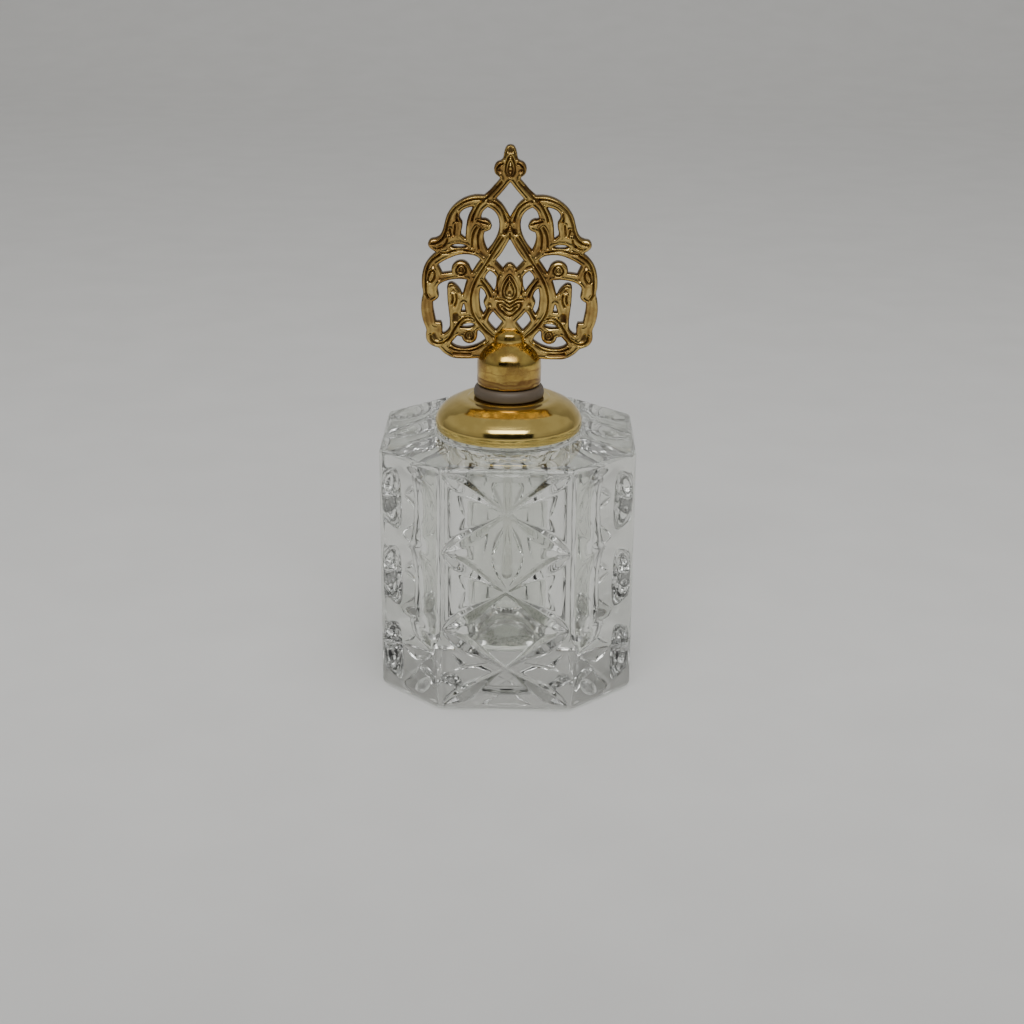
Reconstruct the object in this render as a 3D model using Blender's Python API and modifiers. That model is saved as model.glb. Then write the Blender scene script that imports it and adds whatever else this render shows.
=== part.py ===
"""A small cut-crystal perfume bottle: an eight-sided glass body with a gold clip-on collar on its
neck, and a pull-out stopper with a dip rod, a gold hub and a pierced gold filigree plate.

The bottle stands on z = 0 with its neck on the Z axis, and its front faces -Y. Blender's unit is the
metre, and the dimensions below are written in millimetres times MM.
"""

import math

import bmesh
import bpy
from mathutils import Matrix, Vector

MM = 0.001

# Glass body: a square block with its four upright corners cut off
BODY_WIDTH = 36.0 * MM
BODY_HEIGHT = 36.0 * MM
CORNER_CUT = 8.6 * MM
EDGE_ROUND = 0.7 * MM
SEAT_RADIUS = 10.6 * MM
SEAT_RISE = 0.3 * MM
RECESS_RADIUS = 9.0 * MM
RECESS_DEPTH = 0.6 * MM

# Cut pattern: cells stacked on each side, with a saltire on the wide faces and a dish on the corners
CELLS = 3
CELL_PITCH = 11.5 * MM
CELL_WIDTH = 17.5 * MM
DISH_RADIUS = 5.5 * MM
DISH_DEPTH = 1.2 * MM
MITRE_HALF_LENGTH = 10.0 * MM
MITRE_HALF_WIDTH = 0.62 * MM
MITRE_DEPTH = 0.45 * MM

# Inside of the bottle
CAVITY_RADIUS = 9.0 * MM
CAVITY_FLOOR = 6.0 * MM
CAVITY_ROUND = 3.0 * MM
SHOULDER_TOP = 33.6 * MM
BORE_RADIUS = 4.2 * MM

# Neck
NECK_RADIUS = 6.2 * MM
NECK_TOP = 39.6 * MM
BEAD_RADIUS = 7.0 * MM
BEAD_BOTTOM = 37.9 * MM

# Play between touching pieces
GAP = 0.25 * MM

# Collar
COLLAR_BOTTOM = BODY_HEIGHT + SEAT_RISE + 0.2 * MM
COLLAR_TOP = 41.25 * MM
COLLAR_RADIUS = 10.35 * MM
COLLAR_WALL = 0.8 * MM
COLLAR_HOLE = 3.4 * MM

# Sealing washer and stopper
WASHER_RADIUS = 5.03 * MM
WASHER_TOP = 42.85 * MM
PLUG_RADIUS = 2.6 * MM
PLUG_BOTTOM = 35.2 * MM
SPIGOT_RADIUS = 1.9 * MM
ROD_RADIUS = 1.0 * MM
ROD_TIP_RADIUS = 1.25 * MM
ROD_TIP = 14.5 * MM
ROD_TOP = 38.7 * MM

# Hub and filigree plate
HUB_RADIUS = 4.5 * MM
HUB_BOTTOM = WASHER_TOP + GAP
HUB_SHOULDER = 46.8 * MM
HUB_TOP = 51.0 * MM
SOCKET_TOP = 44.9 * MM
PLATE_THICKNESS = 1.6 * MM
PLATE_FOOT = 46.75 * MM
TANG_HALF_WIDTH = 2.8 * MM
TANG_FOOT = 45.75 * MM

TURN_STEPS = 32
BODY_STEPS = 40
CURVE_STEPS = 2

# Right half of the plate's outer edge in millimetres (x, z), from its tip down to the tang. Each run is
# one smooth lobe, and two runs meet in a notch.
EDGE_RUNS = (
    ((0, 76.95), (0.72, 76.4), (1.02, 75.1)),
    ((1.02, 75.1), (1.8, 74.6), (2.25, 73.6), (1.4, 72.3)),
    ((1.4, 72.3), (2.1, 71.5), (3.6, 70.02)),
    ((3.6, 70.02), (5.5, 69.9), (7.6, 68.75), (8.85, 67.0), (9.75, 64.35)),
    ((9.75, 64.35), (11.0, 63.85), (11.4, 63.05), (10.3, 62.0)),
    ((10.3, 62.0), (11.7, 60.5), (12.3, 58.4), (12.15, 56.3)),
    ((12.15, 56.3), (12.45, 54.2), (11.75, 51.0)),
    ((11.75, 51.0), (11.7, 49.5), (10.0, 48.3)),
    ((10.0, 48.3), (8.6, 47.15), (6.7, 46.8), (4.45, 46.8)),
    ((4.45, 46.8), (2.8, 46.75)),
    ((2.8, 46.75), (2.8, 45.75)),
    ((2.8, 45.75), (0, 45.75)),
)

# Openings that cross the plate's middle line: their right halves, top to bottom
MIDDLE_OPENINGS = (
    (((0, 71.84), (1.92, 69.56)), ((1.92, 69.56), (0.75, 68.4), (0, 67.0))),
    (((0, 63.97), (0.9, 62.35), (1.96, 60.95)), ((1.96, 60.95), (0.97, 59.85)), ((0.97, 59.85), (0, 60.6))),
)

# Openings of the right half, which the left half repeats as in a mirror
SIDE_OPENINGS = (
    # teardrop of the upper loop, with the leaf's nub
    (
        ((3.1, 68.37), (4.0, 67.0)),
        ((4.0, 67.0), (2.75, 66.35), (3.1, 65.05), (3.63, 64.35)),
        ((3.63, 64.35), (3.08, 62.46)),
        ((3.08, 62.46), (2.0, 64.0), (1.5, 66.1), (3.1, 68.37)),
    ),
    # crescent behind the upper scroll
    (
        ((5.1, 68.45), (6.6, 67.85), (6.95, 67.1)),
        ((6.95, 67.1), (6.62, 66.35), (6.75, 64.5)),
        ((6.75, 64.5), (6.2, 64.05)),
        ((6.2, 64.05), (6.05, 66.0), (5.1, 68.45)),
    ),
    # slit over the arch
    (((6.05, 62.95), (7.1, 63.18), (8.2, 62.95)), ((8.2, 62.95), (7.1, 62.72), (6.05, 62.95))),
    # beside the bud
    (
        ((2.75, 59.45), (3.45, 58.4)),
        ((3.45, 58.4), (2.2, 56.6)),
        ((2.2, 56.6), (1.85, 58.2), (2.75, 59.45)),
    ),
    # beside the small scroll
    (
        ((4.05, 57.0), (4.18, 55.2), (3.66, 53.35)),
        ((3.66, 53.35), (3.3, 53.95)),
        ((3.3, 53.95), (3.62, 55.0), (3.3, 55.88)),
        ((3.3, 55.88), (4.05, 57.0)),
    ),
    # under the small scroll
    (
        ((2.3, 53.65), (3.0, 52.35)),
        ((3.0, 52.35), (1.9, 51.0)),
        ((1.9, 51.0), (1.0, 52.2)),
        ((1.0, 52.2), (2.3, 53.65)),
    ),
    # window over the upper disc
    (
        ((4.1, 61.05), (6.5, 61.74), (9.98, 60.3)),
        ((9.98, 60.3), (9.42, 59.1)),
        ((9.42, 59.1), (8.1, 59.27)),
        ((8.1, 59.27), (6.8, 60.87), (5.4, 59.4)),
        ((5.4, 59.4), (4.1, 61.05)),
    ),
    # window round the leaf
    (
        ((6.0, 58.18), (8.3, 58.15), (10.06, 57.1)),
        ((10.06, 57.1), (9.95, 55.65), (10.75, 54.97)),
        ((10.75, 54.97), (10.35, 52.15)),
        ((10.35, 52.15), (9.5, 51.6), (9.3, 50.42)),
        ((9.3, 50.42), (8.45, 52.2), (8.76, 56.5), (8.0, 57.72), (6.6, 56.05)),
        ((6.6, 56.05), (6.0, 58.18)),
    ),
    # eye under the leaf
    (((4.9, 51.7), (5.8, 51.85), (6.88, 51.4)), ((6.88, 51.4), (5.9, 51.3), (4.9, 51.7))),
    # crescent under the lower disc
    (
        ((3.35, 49.6), (4.48, 50.75)),
        ((4.48, 50.75), (5.64, 49.0), (6.75, 49.95)),
        ((6.75, 49.95), (7.5, 49.95), (8.2, 49.04)),
        ((8.2, 49.04), (5.9, 48.44), (3.35, 49.6)),
    ),
)


def clear_scene():
    for obj in list(bpy.data.objects):
        bpy.data.objects.remove(obj, do_unlink=True)


def new_collection(name):
    collection = bpy.data.collections.new(name)
    bpy.context.scene.collection.children.link(collection)
    return collection


def new_material(name, colour, roughness, metallic=0.0, transmission=0.0):
    material = bpy.data.materials.new(name)
    material.use_nodes = True
    shader = material.node_tree.nodes["Principled BSDF"]
    shader.inputs["Base Color"].default_value = (*colour, 1.0)
    shader.inputs["Roughness"].default_value = roughness
    shader.inputs["Metallic"].default_value = metallic
    shader.inputs["Transmission Weight"].default_value = transmission
    return material


def new_object(name, mesh, collection, material=None):
    obj = bpy.data.objects.new(name, mesh)
    collection.objects.link(obj)
    if material:
        mesh.materials.append(material)
    return obj


def make_cutter(obj):
    obj.hide_render = True
    obj.display_type = "WIRE"
    return obj


def arc(centre, radius, start, end, count):
    """Points (r, z) on a circle, from one angle to another in degrees, both ends among them."""
    angles = [math.radians(start + (end - start) * i / (count - 1)) for i in range(count)]
    return [(centre[0] + radius * math.cos(a), centre[1] + radius * math.sin(a)) for a in angles]


def turned(name, profile, collection, material=None, steps=TURN_STEPS, ring=False):
    """A turned piece. Its profile (r, z) runs down the outer side, and a ring's comes back up inside."""
    mesh = bpy.data.meshes.new(name)
    count = len(profile)
    edges = [(i, (i + 1) % count) for i in range(count if ring else count - 1)]
    mesh.from_pydata([(r, 0, z) for r, z in profile], edges, [])
    obj = new_object(name, mesh, collection, material)
    screw = obj.modifiers.new("turn", "SCREW")
    screw.steps = screw.render_steps = steps
    screw.use_merge_vertices = True
    screw.merge_threshold = 0.01 * MM
    screw.use_smooth_shade = True
    return obj


def cut(obj, tool, operation="DIFFERENCE"):
    boolean = obj.modifiers.new(tool.name, "BOOLEAN")
    boolean.operation = operation
    boolean.solver = "EXACT"
    if isinstance(tool, bpy.types.Collection):
        boolean.operand_type = "COLLECTION"
        boolean.collection = tool
    else:
        boolean.object = tool


def box_cutter(name, low, high, collection):
    """A box between two opposite corners."""
    low, high = Vector(low), Vector(high)
    bm = bmesh.new()
    placed = Matrix.Translation((low + high) / 2) @ Matrix.Diagonal((*(high - low), 1))
    bmesh.ops.create_cube(bm, size=1, matrix=placed)
    mesh = bpy.data.meshes.new(name)
    bm.to_mesh(mesh)
    bm.free()
    return make_cutter(new_object(name, mesh, collection))


def faced(azimuth):
    """The turn that points a cutter's own Z axis outwards at this azimuth."""
    return Matrix.Rotation(azimuth + math.pi / 2, 4, "Z") @ Matrix.Rotation(math.pi / 2, 4, "X")


def cell_heights():
    middle = BODY_HEIGHT / 2 + 0.15 * MM
    return [middle + CELL_PITCH * (i - (CELLS - 1) / 2) for i in range(CELLS)]


def dish_cutters(collection):
    """A lens for each dish on the four corner faces: the cap of a sphere, carried a little outwards."""
    sphere = (DISH_RADIUS**2 + DISH_DEPTH**2) / (2 * DISH_DEPTH)
    outside = 0.5 * MM
    brim = math.degrees(math.acos((sphere - DISH_DEPTH - outside) / sphere))
    profile = [(0, outside)] + arc((0, sphere - DISH_DEPTH), sphere, brim - 90, -90, 6)
    face_distance = (BODY_WIDTH - CORNER_CUT) / math.sqrt(2)
    for side in range(4):
        azimuth = math.radians(45 + 90 * side)
        for level, z in enumerate(cell_heights()):
            dish = turned(f"dish_{side}_{level}", profile, collection, steps=24)
            out = Vector((math.cos(azimuth), math.sin(azimuth), 0)) * face_distance
            dish.matrix_world = Matrix.Translation(out + Vector((0, 0, z))) @ faced(azimuth)
            make_cutter(dish)


def mitre_cutters(collection):
    """Two crossed leaf-shaped V cuts on each cell of the four wide faces."""
    slope = math.atan2(CELL_PITCH, CELL_WIDTH)
    stretch = Matrix.Diagonal((MITRE_HALF_WIDTH, MITRE_DEPTH, MITRE_HALF_LENGTH, 1))
    along_x = Matrix.Rotation(math.pi / 2, 4, "Y") @ Matrix.Rotation(math.pi / 2, 4, "Z")
    bm = bmesh.new()
    bmesh.ops.create_uvsphere(bm, u_segments=4, v_segments=8, radius=1, matrix=along_x @ stretch)
    leaf = bpy.data.meshes.new("mitre")
    bm.to_mesh(leaf)
    bm.free()
    for side in range(4):
        azimuth = math.radians(90 * side)
        out = Vector((math.cos(azimuth), math.sin(azimuth), 0)) * BODY_WIDTH / 2
        for level, z in enumerate(cell_heights()):
            for tilt in (-slope, slope):
                mitre = new_object(f"mitre_{side}_{level}_{tilt > 0:d}", leaf, collection)
                placed = Matrix.Translation(out + Vector((0, 0, z))) @ faced(azimuth)
                mitre.matrix_world = placed @ Matrix.Rotation(tilt, 4, "Z")
                make_cutter(mitre)


def neck_profile():
    """The neck with its bead, and the round seat under the collar, down into the body."""
    seat_top = BODY_HEIGHT + SEAT_RISE
    bead_round = 0.3 * MM
    return [
        (0, NECK_TOP),
        (BEAD_RADIUS - bead_round, NECK_TOP),
        (BEAD_RADIUS, NECK_TOP - bead_round),
        (BEAD_RADIUS, BEAD_BOTTOM + bead_round),
        (NECK_RADIUS, BEAD_BOTTOM),
        (NECK_RADIUS, seat_top),
        (SEAT_RADIUS, seat_top),
        (SEAT_RADIUS, BODY_HEIGHT - 1 * MM),
        (0, BODY_HEIGHT - 1 * MM),
    ]


def cavity_profile():
    """The bore, the round shoulder, and the straight well with its rounded floor."""
    shoulder = CAVITY_RADIUS - BORE_RADIUS
    return [
        (0, NECK_TOP + 1 * MM),
        (BORE_RADIUS, NECK_TOP + 1 * MM),
        *arc((BORE_RADIUS, SHOULDER_TOP - shoulder), shoulder, 90, 0, 6),
        *arc((CAVITY_RADIUS - CAVITY_ROUND, CAVITY_FLOOR + CAVITY_ROUND), CAVITY_ROUND, 0, -90, 5),
        (0, CAVITY_FLOOR),
    ]


def glass_bottle(parts, tools, pattern, glass):
    bm = bmesh.new()
    size = Matrix.Diagonal((BODY_WIDTH, BODY_WIDTH, BODY_HEIGHT, 1))
    bmesh.ops.create_cube(bm, size=1, matrix=Matrix.Translation((0, 0, BODY_HEIGHT / 2)) @ size)
    upright = [e for e in bm.edges if abs(e.verts[0].co.z - e.verts[1].co.z) > BODY_HEIGHT / 2]
    bmesh.ops.bevel(bm, geom=upright, offset=CORNER_CUT, segments=1, affect="EDGES")
    mesh = bpy.data.meshes.new("glass_bottle")
    bm.to_mesh(mesh)
    bm.free()
    bottle = new_object("glass_bottle", mesh, parts, glass)
    rounding = bottle.modifiers.new("edges", "BEVEL")
    rounding.width = EDGE_ROUND
    rounding.segments = 2
    rounding.limit_method = "ANGLE"

    neck = make_cutter(turned("neck", neck_profile(), tools, steps=BODY_STEPS))
    cavity = make_cutter(turned("cavity", cavity_profile(), tools, steps=BODY_STEPS))
    recess_profile = [
        (0, RECESS_DEPTH),
        (RECESS_RADIUS - 3 * RECESS_DEPTH, RECESS_DEPTH),
        (RECESS_RADIUS, 0),
        (RECESS_RADIUS, -1 * MM),
        (0, -1 * MM),
    ]
    recess = make_cutter(turned("base_recess", recess_profile, tools, steps=BODY_STEPS))
    dish_cutters(pattern)
    mitre_cutters(pattern)
    cut(bottle, neck, "UNION")
    cut(bottle, cavity)
    cut(bottle, recess)
    cut(bottle, pattern)


def neck_insert(parts, plastic):
    """A plain bush in the bore: a flange on the lip, and a wiping lip round the rod at its foot."""
    outer = BORE_RADIUS - GAP
    flange_radius = 5.6 * MM
    flange_top = NECK_TOP + GAP + 0.4 * MM
    foot = SHOULDER_TOP + 0.7 * MM
    bore = PLUG_RADIUS + GAP
    wiper = ROD_TIP_RADIUS + GAP
    profile = [
        (flange_radius, flange_top),
        (flange_radius, NECK_TOP + GAP),
        (outer, NECK_TOP + GAP),
        (outer, foot + 0.4 * MM),
        (outer - 0.4 * MM, foot),
        (wiper, foot),
        (wiper, foot + 0.5 * MM),
        (bore, foot + 0.7 * MM),
        (bore, flange_top - 0.3 * MM),
        (bore + 0.3 * MM, flange_top),
    ]
    turned("neck_insert", profile, parts, plastic, ring=True)


def collar(parts, gold):
    """A drawn cup with a rolled lower lip, a domed shoulder and a flat top with a hole in it."""
    inner = COLLAR_RADIUS - COLLAR_WALL - 0.5 * MM
    ceiling = COLLAR_TOP - COLLAR_WALL
    profile = [
        (COLLAR_HOLE, COLLAR_TOP),
        (5.6 * MM, COLLAR_TOP),
        (7.5 * MM, 41.0 * MM),
        (8.9 * MM, 40.2 * MM),
        (9.7 * MM, 39.3 * MM),
        (10.1 * MM, 38.6 * MM),
        (COLLAR_RADIUS, 37.8 * MM),
        (COLLAR_RADIUS - 0.15 * MM, 37.3 * MM),
        (COLLAR_RADIUS - 0.1 * MM, 36.9 * MM),
        (COLLAR_RADIUS - 0.4 * MM, COLLAR_BOTTOM),
        (inner, COLLAR_BOTTOM),
        (inner, 38.5 * MM),
        (inner - 0.5 * MM, 39.3 * MM),
        (7.6 * MM, 40.1 * MM),
        (6.8 * MM, ceiling),
        (COLLAR_HOLE, ceiling),
    ]
    turned("collar", profile, parts, gold, steps=BODY_STEPS, ring=True)


def collar_inner_ring(parts, plastic):
    """The ring that snaps over the neck's bead and carries the collar."""
    outer = COLLAR_RADIUS - COLLAR_WALL - 0.5 * MM - GAP
    bottom = COLLAR_BOTTOM + GAP
    top = 38.9 * MM
    grip = NECK_RADIUS + GAP
    over_bead = BEAD_RADIUS + GAP
    profile = [
        (outer - 0.5 * MM, top),
        (outer, top - 0.6 * MM),
        (outer, bottom),
        (grip + 0.2 * MM, bottom),
        (grip, bottom + 0.3 * MM),
        (grip, BEAD_BOTTOM - 0.5 * MM),
        (over_bead, BEAD_BOTTOM + 0.1 * MM),
        (over_bead, top),
    ]
    turned("collar_inner_ring", profile, parts, plastic, ring=True)


def sealing_washer(parts, plastic):
    """The soft washer between the collar and the hub, with rounded rims."""
    bottom = COLLAR_TOP + GAP
    hole = PLUG_RADIUS + 2 * GAP
    half = (WASHER_TOP - bottom) / 2
    rim = arc((WASHER_RADIUS - half, bottom + half), half, 60, -60, 5)
    edge = [(rim[0][0], WASHER_TOP), *rim[1:-1], (rim[-1][0], bottom)]
    profile = [(hole, WASHER_TOP), *edge, (hole, bottom)]
    turned("sealing_washer", profile, parts, plastic, ring=True)


def stopper_plug(parts, plastic):
    """The plug: a spigot up into the hub, a shaft down through the collar, and a socket for the rod."""
    shoulder = WASHER_TOP
    socket = ROD_RADIUS + 0.15 * MM
    profile = [
        (0, SOCKET_TOP - GAP),
        (SPIGOT_RADIUS, SOCKET_TOP - GAP),
        (SPIGOT_RADIUS, shoulder),
        (PLUG_RADIUS, shoulder),
        (PLUG_RADIUS, PLUG_BOTTOM + 0.8 * MM),
        (PLUG_RADIUS - 0.5 * MM, PLUG_BOTTOM),
        (socket, PLUG_BOTTOM),
        (socket, ROD_TOP + GAP),
        (0, ROD_TOP + GAP),
    ]
    turned("stopper_plug", profile, parts, plastic)


def dip_rod(parts, plastic):
    """A thin rod with a drop-shaped tip that carries scent out of the bottle."""
    tip_centre = (0, ROD_TIP + ROD_TIP_RADIUS)
    profile = [
        (0, ROD_TOP),
        (ROD_RADIUS, ROD_TOP),
        (ROD_RADIUS, ROD_TIP + 4 * ROD_TIP_RADIUS),
        *arc(tip_centre, ROD_TIP_RADIUS, 20, -90, 6),
    ]
    turned("dip_rod", profile, parts, plastic, steps=16)


def finial_hub(parts, tools, gold):
    """A round boss with a bead on its dome, slotted across for the plate, with a socket below."""
    socket = SPIGOT_RADIUS + GAP
    profile = [
        (0, HUB_TOP),
        (0.7 * MM, 50.9 * MM),
        (1.4 * MM, 50.4 * MM),
        (1.94 * MM, 49.8 * MM),
        (2.0 * MM, 49.35 * MM),
        (2.9 * MM, 48.8 * MM),
        (3.84 * MM, 48.0 * MM),
        (4.35 * MM, 47.3 * MM),
        (HUB_RADIUS, HUB_SHOULDER),
        (HUB_RADIUS, HUB_BOTTOM + 0.2 * MM),
        (HUB_RADIUS - 0.2 * MM, HUB_BOTTOM),
        (socket, HUB_BOTTOM),
        (socket, SOCKET_TOP),
        (0, SOCKET_TOP),
    ]
    hub = turned("finial_hub", profile, parts, gold)
    slot = PLATE_THICKNESS / 2 + GAP
    beyond = HUB_RADIUS + 1 * MM
    pocket = TANG_HALF_WIDTH + GAP
    over = HUB_TOP + 1 * MM
    cut(hub, box_cutter("slot", (-beyond, -slot, PLATE_FOOT - GAP), (beyond, slot, over), tools))
    cut(hub, box_cutter("tang_pocket", (-pocket, -slot, TANG_FOOT - GAP), (pocket, slot, over), tools))


def joined(runs):
    """The points of runs that follow each other, each with a mark that says whether it is a corner."""
    points = []
    for run in runs:
        points.append((run[0], True))
        points.extend((point, False) for point in run[1:-1])
    return points


def mirrored(points):
    return [((-x, z), corner) for (x, z), corner in points]


def halves_joined(runs):
    """A closed outline from its right half, which starts and ends on the middle line."""
    right = joined(runs) + [(runs[-1][-1], True)]
    return right + mirrored(right[-2:0:-1])


def add_outline(curve, points):
    spline = curve.splines.new("BEZIER")
    spline.bezier_points.add(len(points) - 1)
    spline.use_cyclic_u = True
    for knot, ((x, z), corner) in zip(spline.bezier_points, points):
        knot.co = (x * MM, z * MM, 0)
        knot.handle_left_type = knot.handle_right_type = "VECTOR" if corner else "AUTO"


def filigree_plate(parts, gold):
    """The pierced plate, from its flat outline, with a tang that stands in the hub's slot."""
    curve = bpy.data.curves.new("filigree_outline", "CURVE")
    curve.dimensions = "2D"
    curve.fill_mode = "BOTH"
    curve.extrude = PLATE_THICKNESS / 2
    curve.resolution_u = CURVE_STEPS
    add_outline(curve, halves_joined(EDGE_RUNS))
    for runs in MIDDLE_OPENINGS:
        add_outline(curve, halves_joined(runs))
    for runs in SIDE_OPENINGS:
        add_outline(curve, joined(runs))
        add_outline(curve, mirrored(joined(runs)))
    drawn = bpy.data.objects.new("filigree_outline", curve)
    parts.objects.link(drawn)
    graph = bpy.context.evaluated_depsgraph_get()
    mesh = bpy.data.meshes.new_from_object(drawn.evaluated_get(graph))
    mesh.name = "filigree_plate"
    bpy.data.objects.remove(drawn, do_unlink=True)

    bm = bmesh.new()
    bm.from_mesh(mesh)
    bmesh.ops.remove_doubles(bm, verts=bm.verts, dist=0.001 * MM)
    bmesh.ops.transform(bm, matrix=Matrix.Rotation(math.pi / 2, 4, "X"), verts=bm.verts)
    bmesh.ops.recalc_face_normals(bm, faces=bm.faces)
    bm.to_mesh(mesh)
    bm.free()
    new_object("filigree_plate", mesh, parts, gold)


def main():
    clear_scene()
    parts = new_collection("perfume_bottle")
    tools = new_collection("cutters")
    pattern = new_collection("pattern_cutters")
    glass = new_material("clear_glass", (0.97, 0.98, 0.98), 0.02, transmission=1.0)
    gold = new_material("bright_gold", (0.83, 0.62, 0.22), 0.16, metallic=1.0)
    bronze_gold = new_material("bronze_gold", (0.66, 0.46, 0.17), 0.3, metallic=1.0)
    frosted = new_material("frosted_plastic", (0.72, 0.70, 0.64), 0.45, transmission=0.5)

    glass_bottle(parts, tools, pattern, glass)
    neck_insert(parts, frosted)
    collar(parts, gold)
    collar_inner_ring(parts, frosted)
    sealing_washer(parts, frosted)
    stopper_plug(parts, frosted)
    dip_rod(parts, frosted)
    finial_hub(parts, tools, gold)
    filigree_plate(parts, bronze_gold)


main()
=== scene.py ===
# %% [markdown]
# # A cut-crystal perfume bottle with a filigree stopper
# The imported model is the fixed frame: its bodies carry the joints, and its boxes say where each piece is.
# This script gives every piece its finished surface and material, and sets a plain stage round the bottle.
# Lengths are written in millimetres and turned into metres when a mesh is made.

# %% Open the frame
import math
import bpy
import numpy as np
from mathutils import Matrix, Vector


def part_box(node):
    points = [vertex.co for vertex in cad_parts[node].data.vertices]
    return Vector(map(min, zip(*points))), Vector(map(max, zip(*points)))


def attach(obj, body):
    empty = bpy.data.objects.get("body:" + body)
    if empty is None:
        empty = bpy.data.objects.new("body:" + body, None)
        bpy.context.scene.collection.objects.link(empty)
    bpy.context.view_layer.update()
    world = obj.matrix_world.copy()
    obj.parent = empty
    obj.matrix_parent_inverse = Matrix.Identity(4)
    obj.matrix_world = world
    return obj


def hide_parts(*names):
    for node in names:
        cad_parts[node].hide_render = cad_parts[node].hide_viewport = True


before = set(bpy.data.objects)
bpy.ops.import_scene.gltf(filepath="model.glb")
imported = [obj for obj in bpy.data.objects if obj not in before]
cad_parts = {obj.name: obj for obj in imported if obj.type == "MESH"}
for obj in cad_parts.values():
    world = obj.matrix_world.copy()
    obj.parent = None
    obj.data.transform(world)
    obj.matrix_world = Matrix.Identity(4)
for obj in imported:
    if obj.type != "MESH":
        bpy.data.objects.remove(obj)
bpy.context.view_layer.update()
MM = 0.001

# %% [markdown]
# ## Camera
# A camera can be placed by aiming an empty at the object, or by writing its position and three axes down.
# The axes are used here, because the view is also turned a little about its own line of sight. The lens is
# a short telephoto at about 27 cm, so the upright edges lean towards each other as they do up close.

# %% Camera
VIEW_YAW = math.radians(0.595)
VIEW_RISE = math.radians(19.686)
VIEW_ROLL = math.radians(0.455)
VIEW_DISTANCE = 273.24 * MM
VIEW_TARGET = np.array((0.584, 0.006, 23.53)) * MM
LENS_MM = 65.6
SENSOR_MM = 36.0

back = np.array((math.sin(VIEW_YAW) * math.cos(VIEW_RISE),
                 -math.cos(VIEW_YAW) * math.cos(VIEW_RISE),
                 math.sin(VIEW_RISE)))
level = np.array((math.cos(VIEW_YAW), math.sin(VIEW_YAW), 0.0))
upward = np.cross(back, level)
right = math.cos(VIEW_ROLL) * level + math.sin(VIEW_ROLL) * upward
camera = bpy.data.objects.new("camera", bpy.data.cameras.new("camera"))
camera.data.lens = LENS_MM
camera.data.sensor_width = SENSOR_MM
camera.data.clip_start = 0.01
turned_axes = np.eye(4)
turned_axes[:3, 0] = right
turned_axes[:3, 1] = np.cross(back, right)
turned_axes[:3, 2] = back
turned_axes[:3, 3] = VIEW_TARGET + back * VIEW_DISTANCE
camera.matrix_world = turned_axes.T
bpy.context.scene.collection.objects.link(camera)
bpy.context.scene.camera = camera
print("camera at", np.round(turned_axes[:3, 3], 4))

# %% [markdown]
# ## From numbers to a mesh
# Nearly every piece here is a surface with two parameters, held as an array of points with rows and columns.
# One function joins neighbouring points into faces. Rows run down the outside of a piece and columns run
# anticlockwise, so the faces point outwards. A row of radius nought is a pole, and becomes one point.

# %% Mesh helpers
def add_mesh(name, points, quads, triangles):
    """A mesh object from points in millimetres and arrays of four-cornered and three-cornered faces."""
    mesh = bpy.data.meshes.new(name)
    corners = np.concatenate([quads.ravel(), triangles.ravel()]).astype(np.int32)
    sizes = np.concatenate([np.full(len(quads), 4), np.full(len(triangles), 3)])
    starts = np.concatenate([[0], np.cumsum(sizes)[:-1]]).astype(np.int32)
    mesh.vertices.add(len(points))
    mesh.vertices.foreach_set("co", (points * MM).astype(np.float32).ravel())
    mesh.loops.add(len(corners))
    mesh.loops.foreach_set("vertex_index", corners)
    mesh.polygons.add(len(sizes))
    mesh.polygons.foreach_set("loop_start", starts)
    mesh.polygons.foreach_set("use_smooth", np.ones(len(sizes), bool))
    mesh.update(calc_edges=True)
    mesh.validate()
    piece = bpy.data.objects.new(name, mesh)
    bpy.context.scene.collection.objects.link(piece)
    print(f"{name}: {len(points)} points, {2 * len(quads) + len(triangles)} triangles")
    return piece


def grid_faces(rows, columns, close_rows=False):
    """Quads between neighbours of a grid whose columns close into a ring, and whose rows may too."""
    i = np.arange(rows if close_rows else rows - 1)[:, None]
    j = np.arange(columns)[None, :]
    below = (i + 1) % rows
    after = (j + 1) % columns
    return np.stack([i * columns + j, below * columns + j,
                     below * columns + after, i * columns + after], axis=-1).reshape(-1, 4)


def lathe(name, profile, columns=160, ring=False, wobble=None):
    """Turns a profile of (radius, height) about Z: point = (r cos a, r sin a, z) for each row r, z and column a.
    wobble(angle, height) may add a little to the radius."""
    r, z = np.array(profile, float).T
    angle = 2 * np.pi * np.arange(columns) / columns
    radius = r[:, None] + (wobble(angle[None, :], z[:, None]) * (r[:, None] > 0) if wobble else 0 * angle)
    points = np.stack([radius * np.cos(angle), radius * np.sin(angle),
                       np.broadcast_to(z[:, None], radius.shape)], axis=-1).reshape(-1, 3)
    quads = grid_faces(len(r), columns, ring)
    if ring:
        return add_mesh(name, points, quads, np.zeros((0, 3), int))
    points, quads, triangles = with_poles(points, quads, len(r), columns)
    return add_mesh(name, points, quads, triangles)


def with_poles(points, quads, rows, columns):
    """The first and last rows, which lie on the axis, made one point each, with triangles round them."""
    count = rows * columns
    near_top = quads[:, 0] < columns
    near_end = quads[:, 1] >= count - columns
    top, end = quads[near_top], quads[near_end]
    fan_top = np.stack([np.zeros(len(top), int), top[:, 1], top[:, 2]], axis=-1)
    fan_end = np.stack([end[:, 0], np.full(len(end), count - 1), end[:, 3]], axis=-1)
    kept = points[columns - 1:count - columns + 1]
    shift = columns - 1
    triangles = np.concatenate([fan_top, fan_end])
    triangles = np.where(triangles == 0, shift, np.minimum(triangles, count - columns)) - shift
    return kept, quads[~near_top & ~near_end] - shift, triangles


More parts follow.
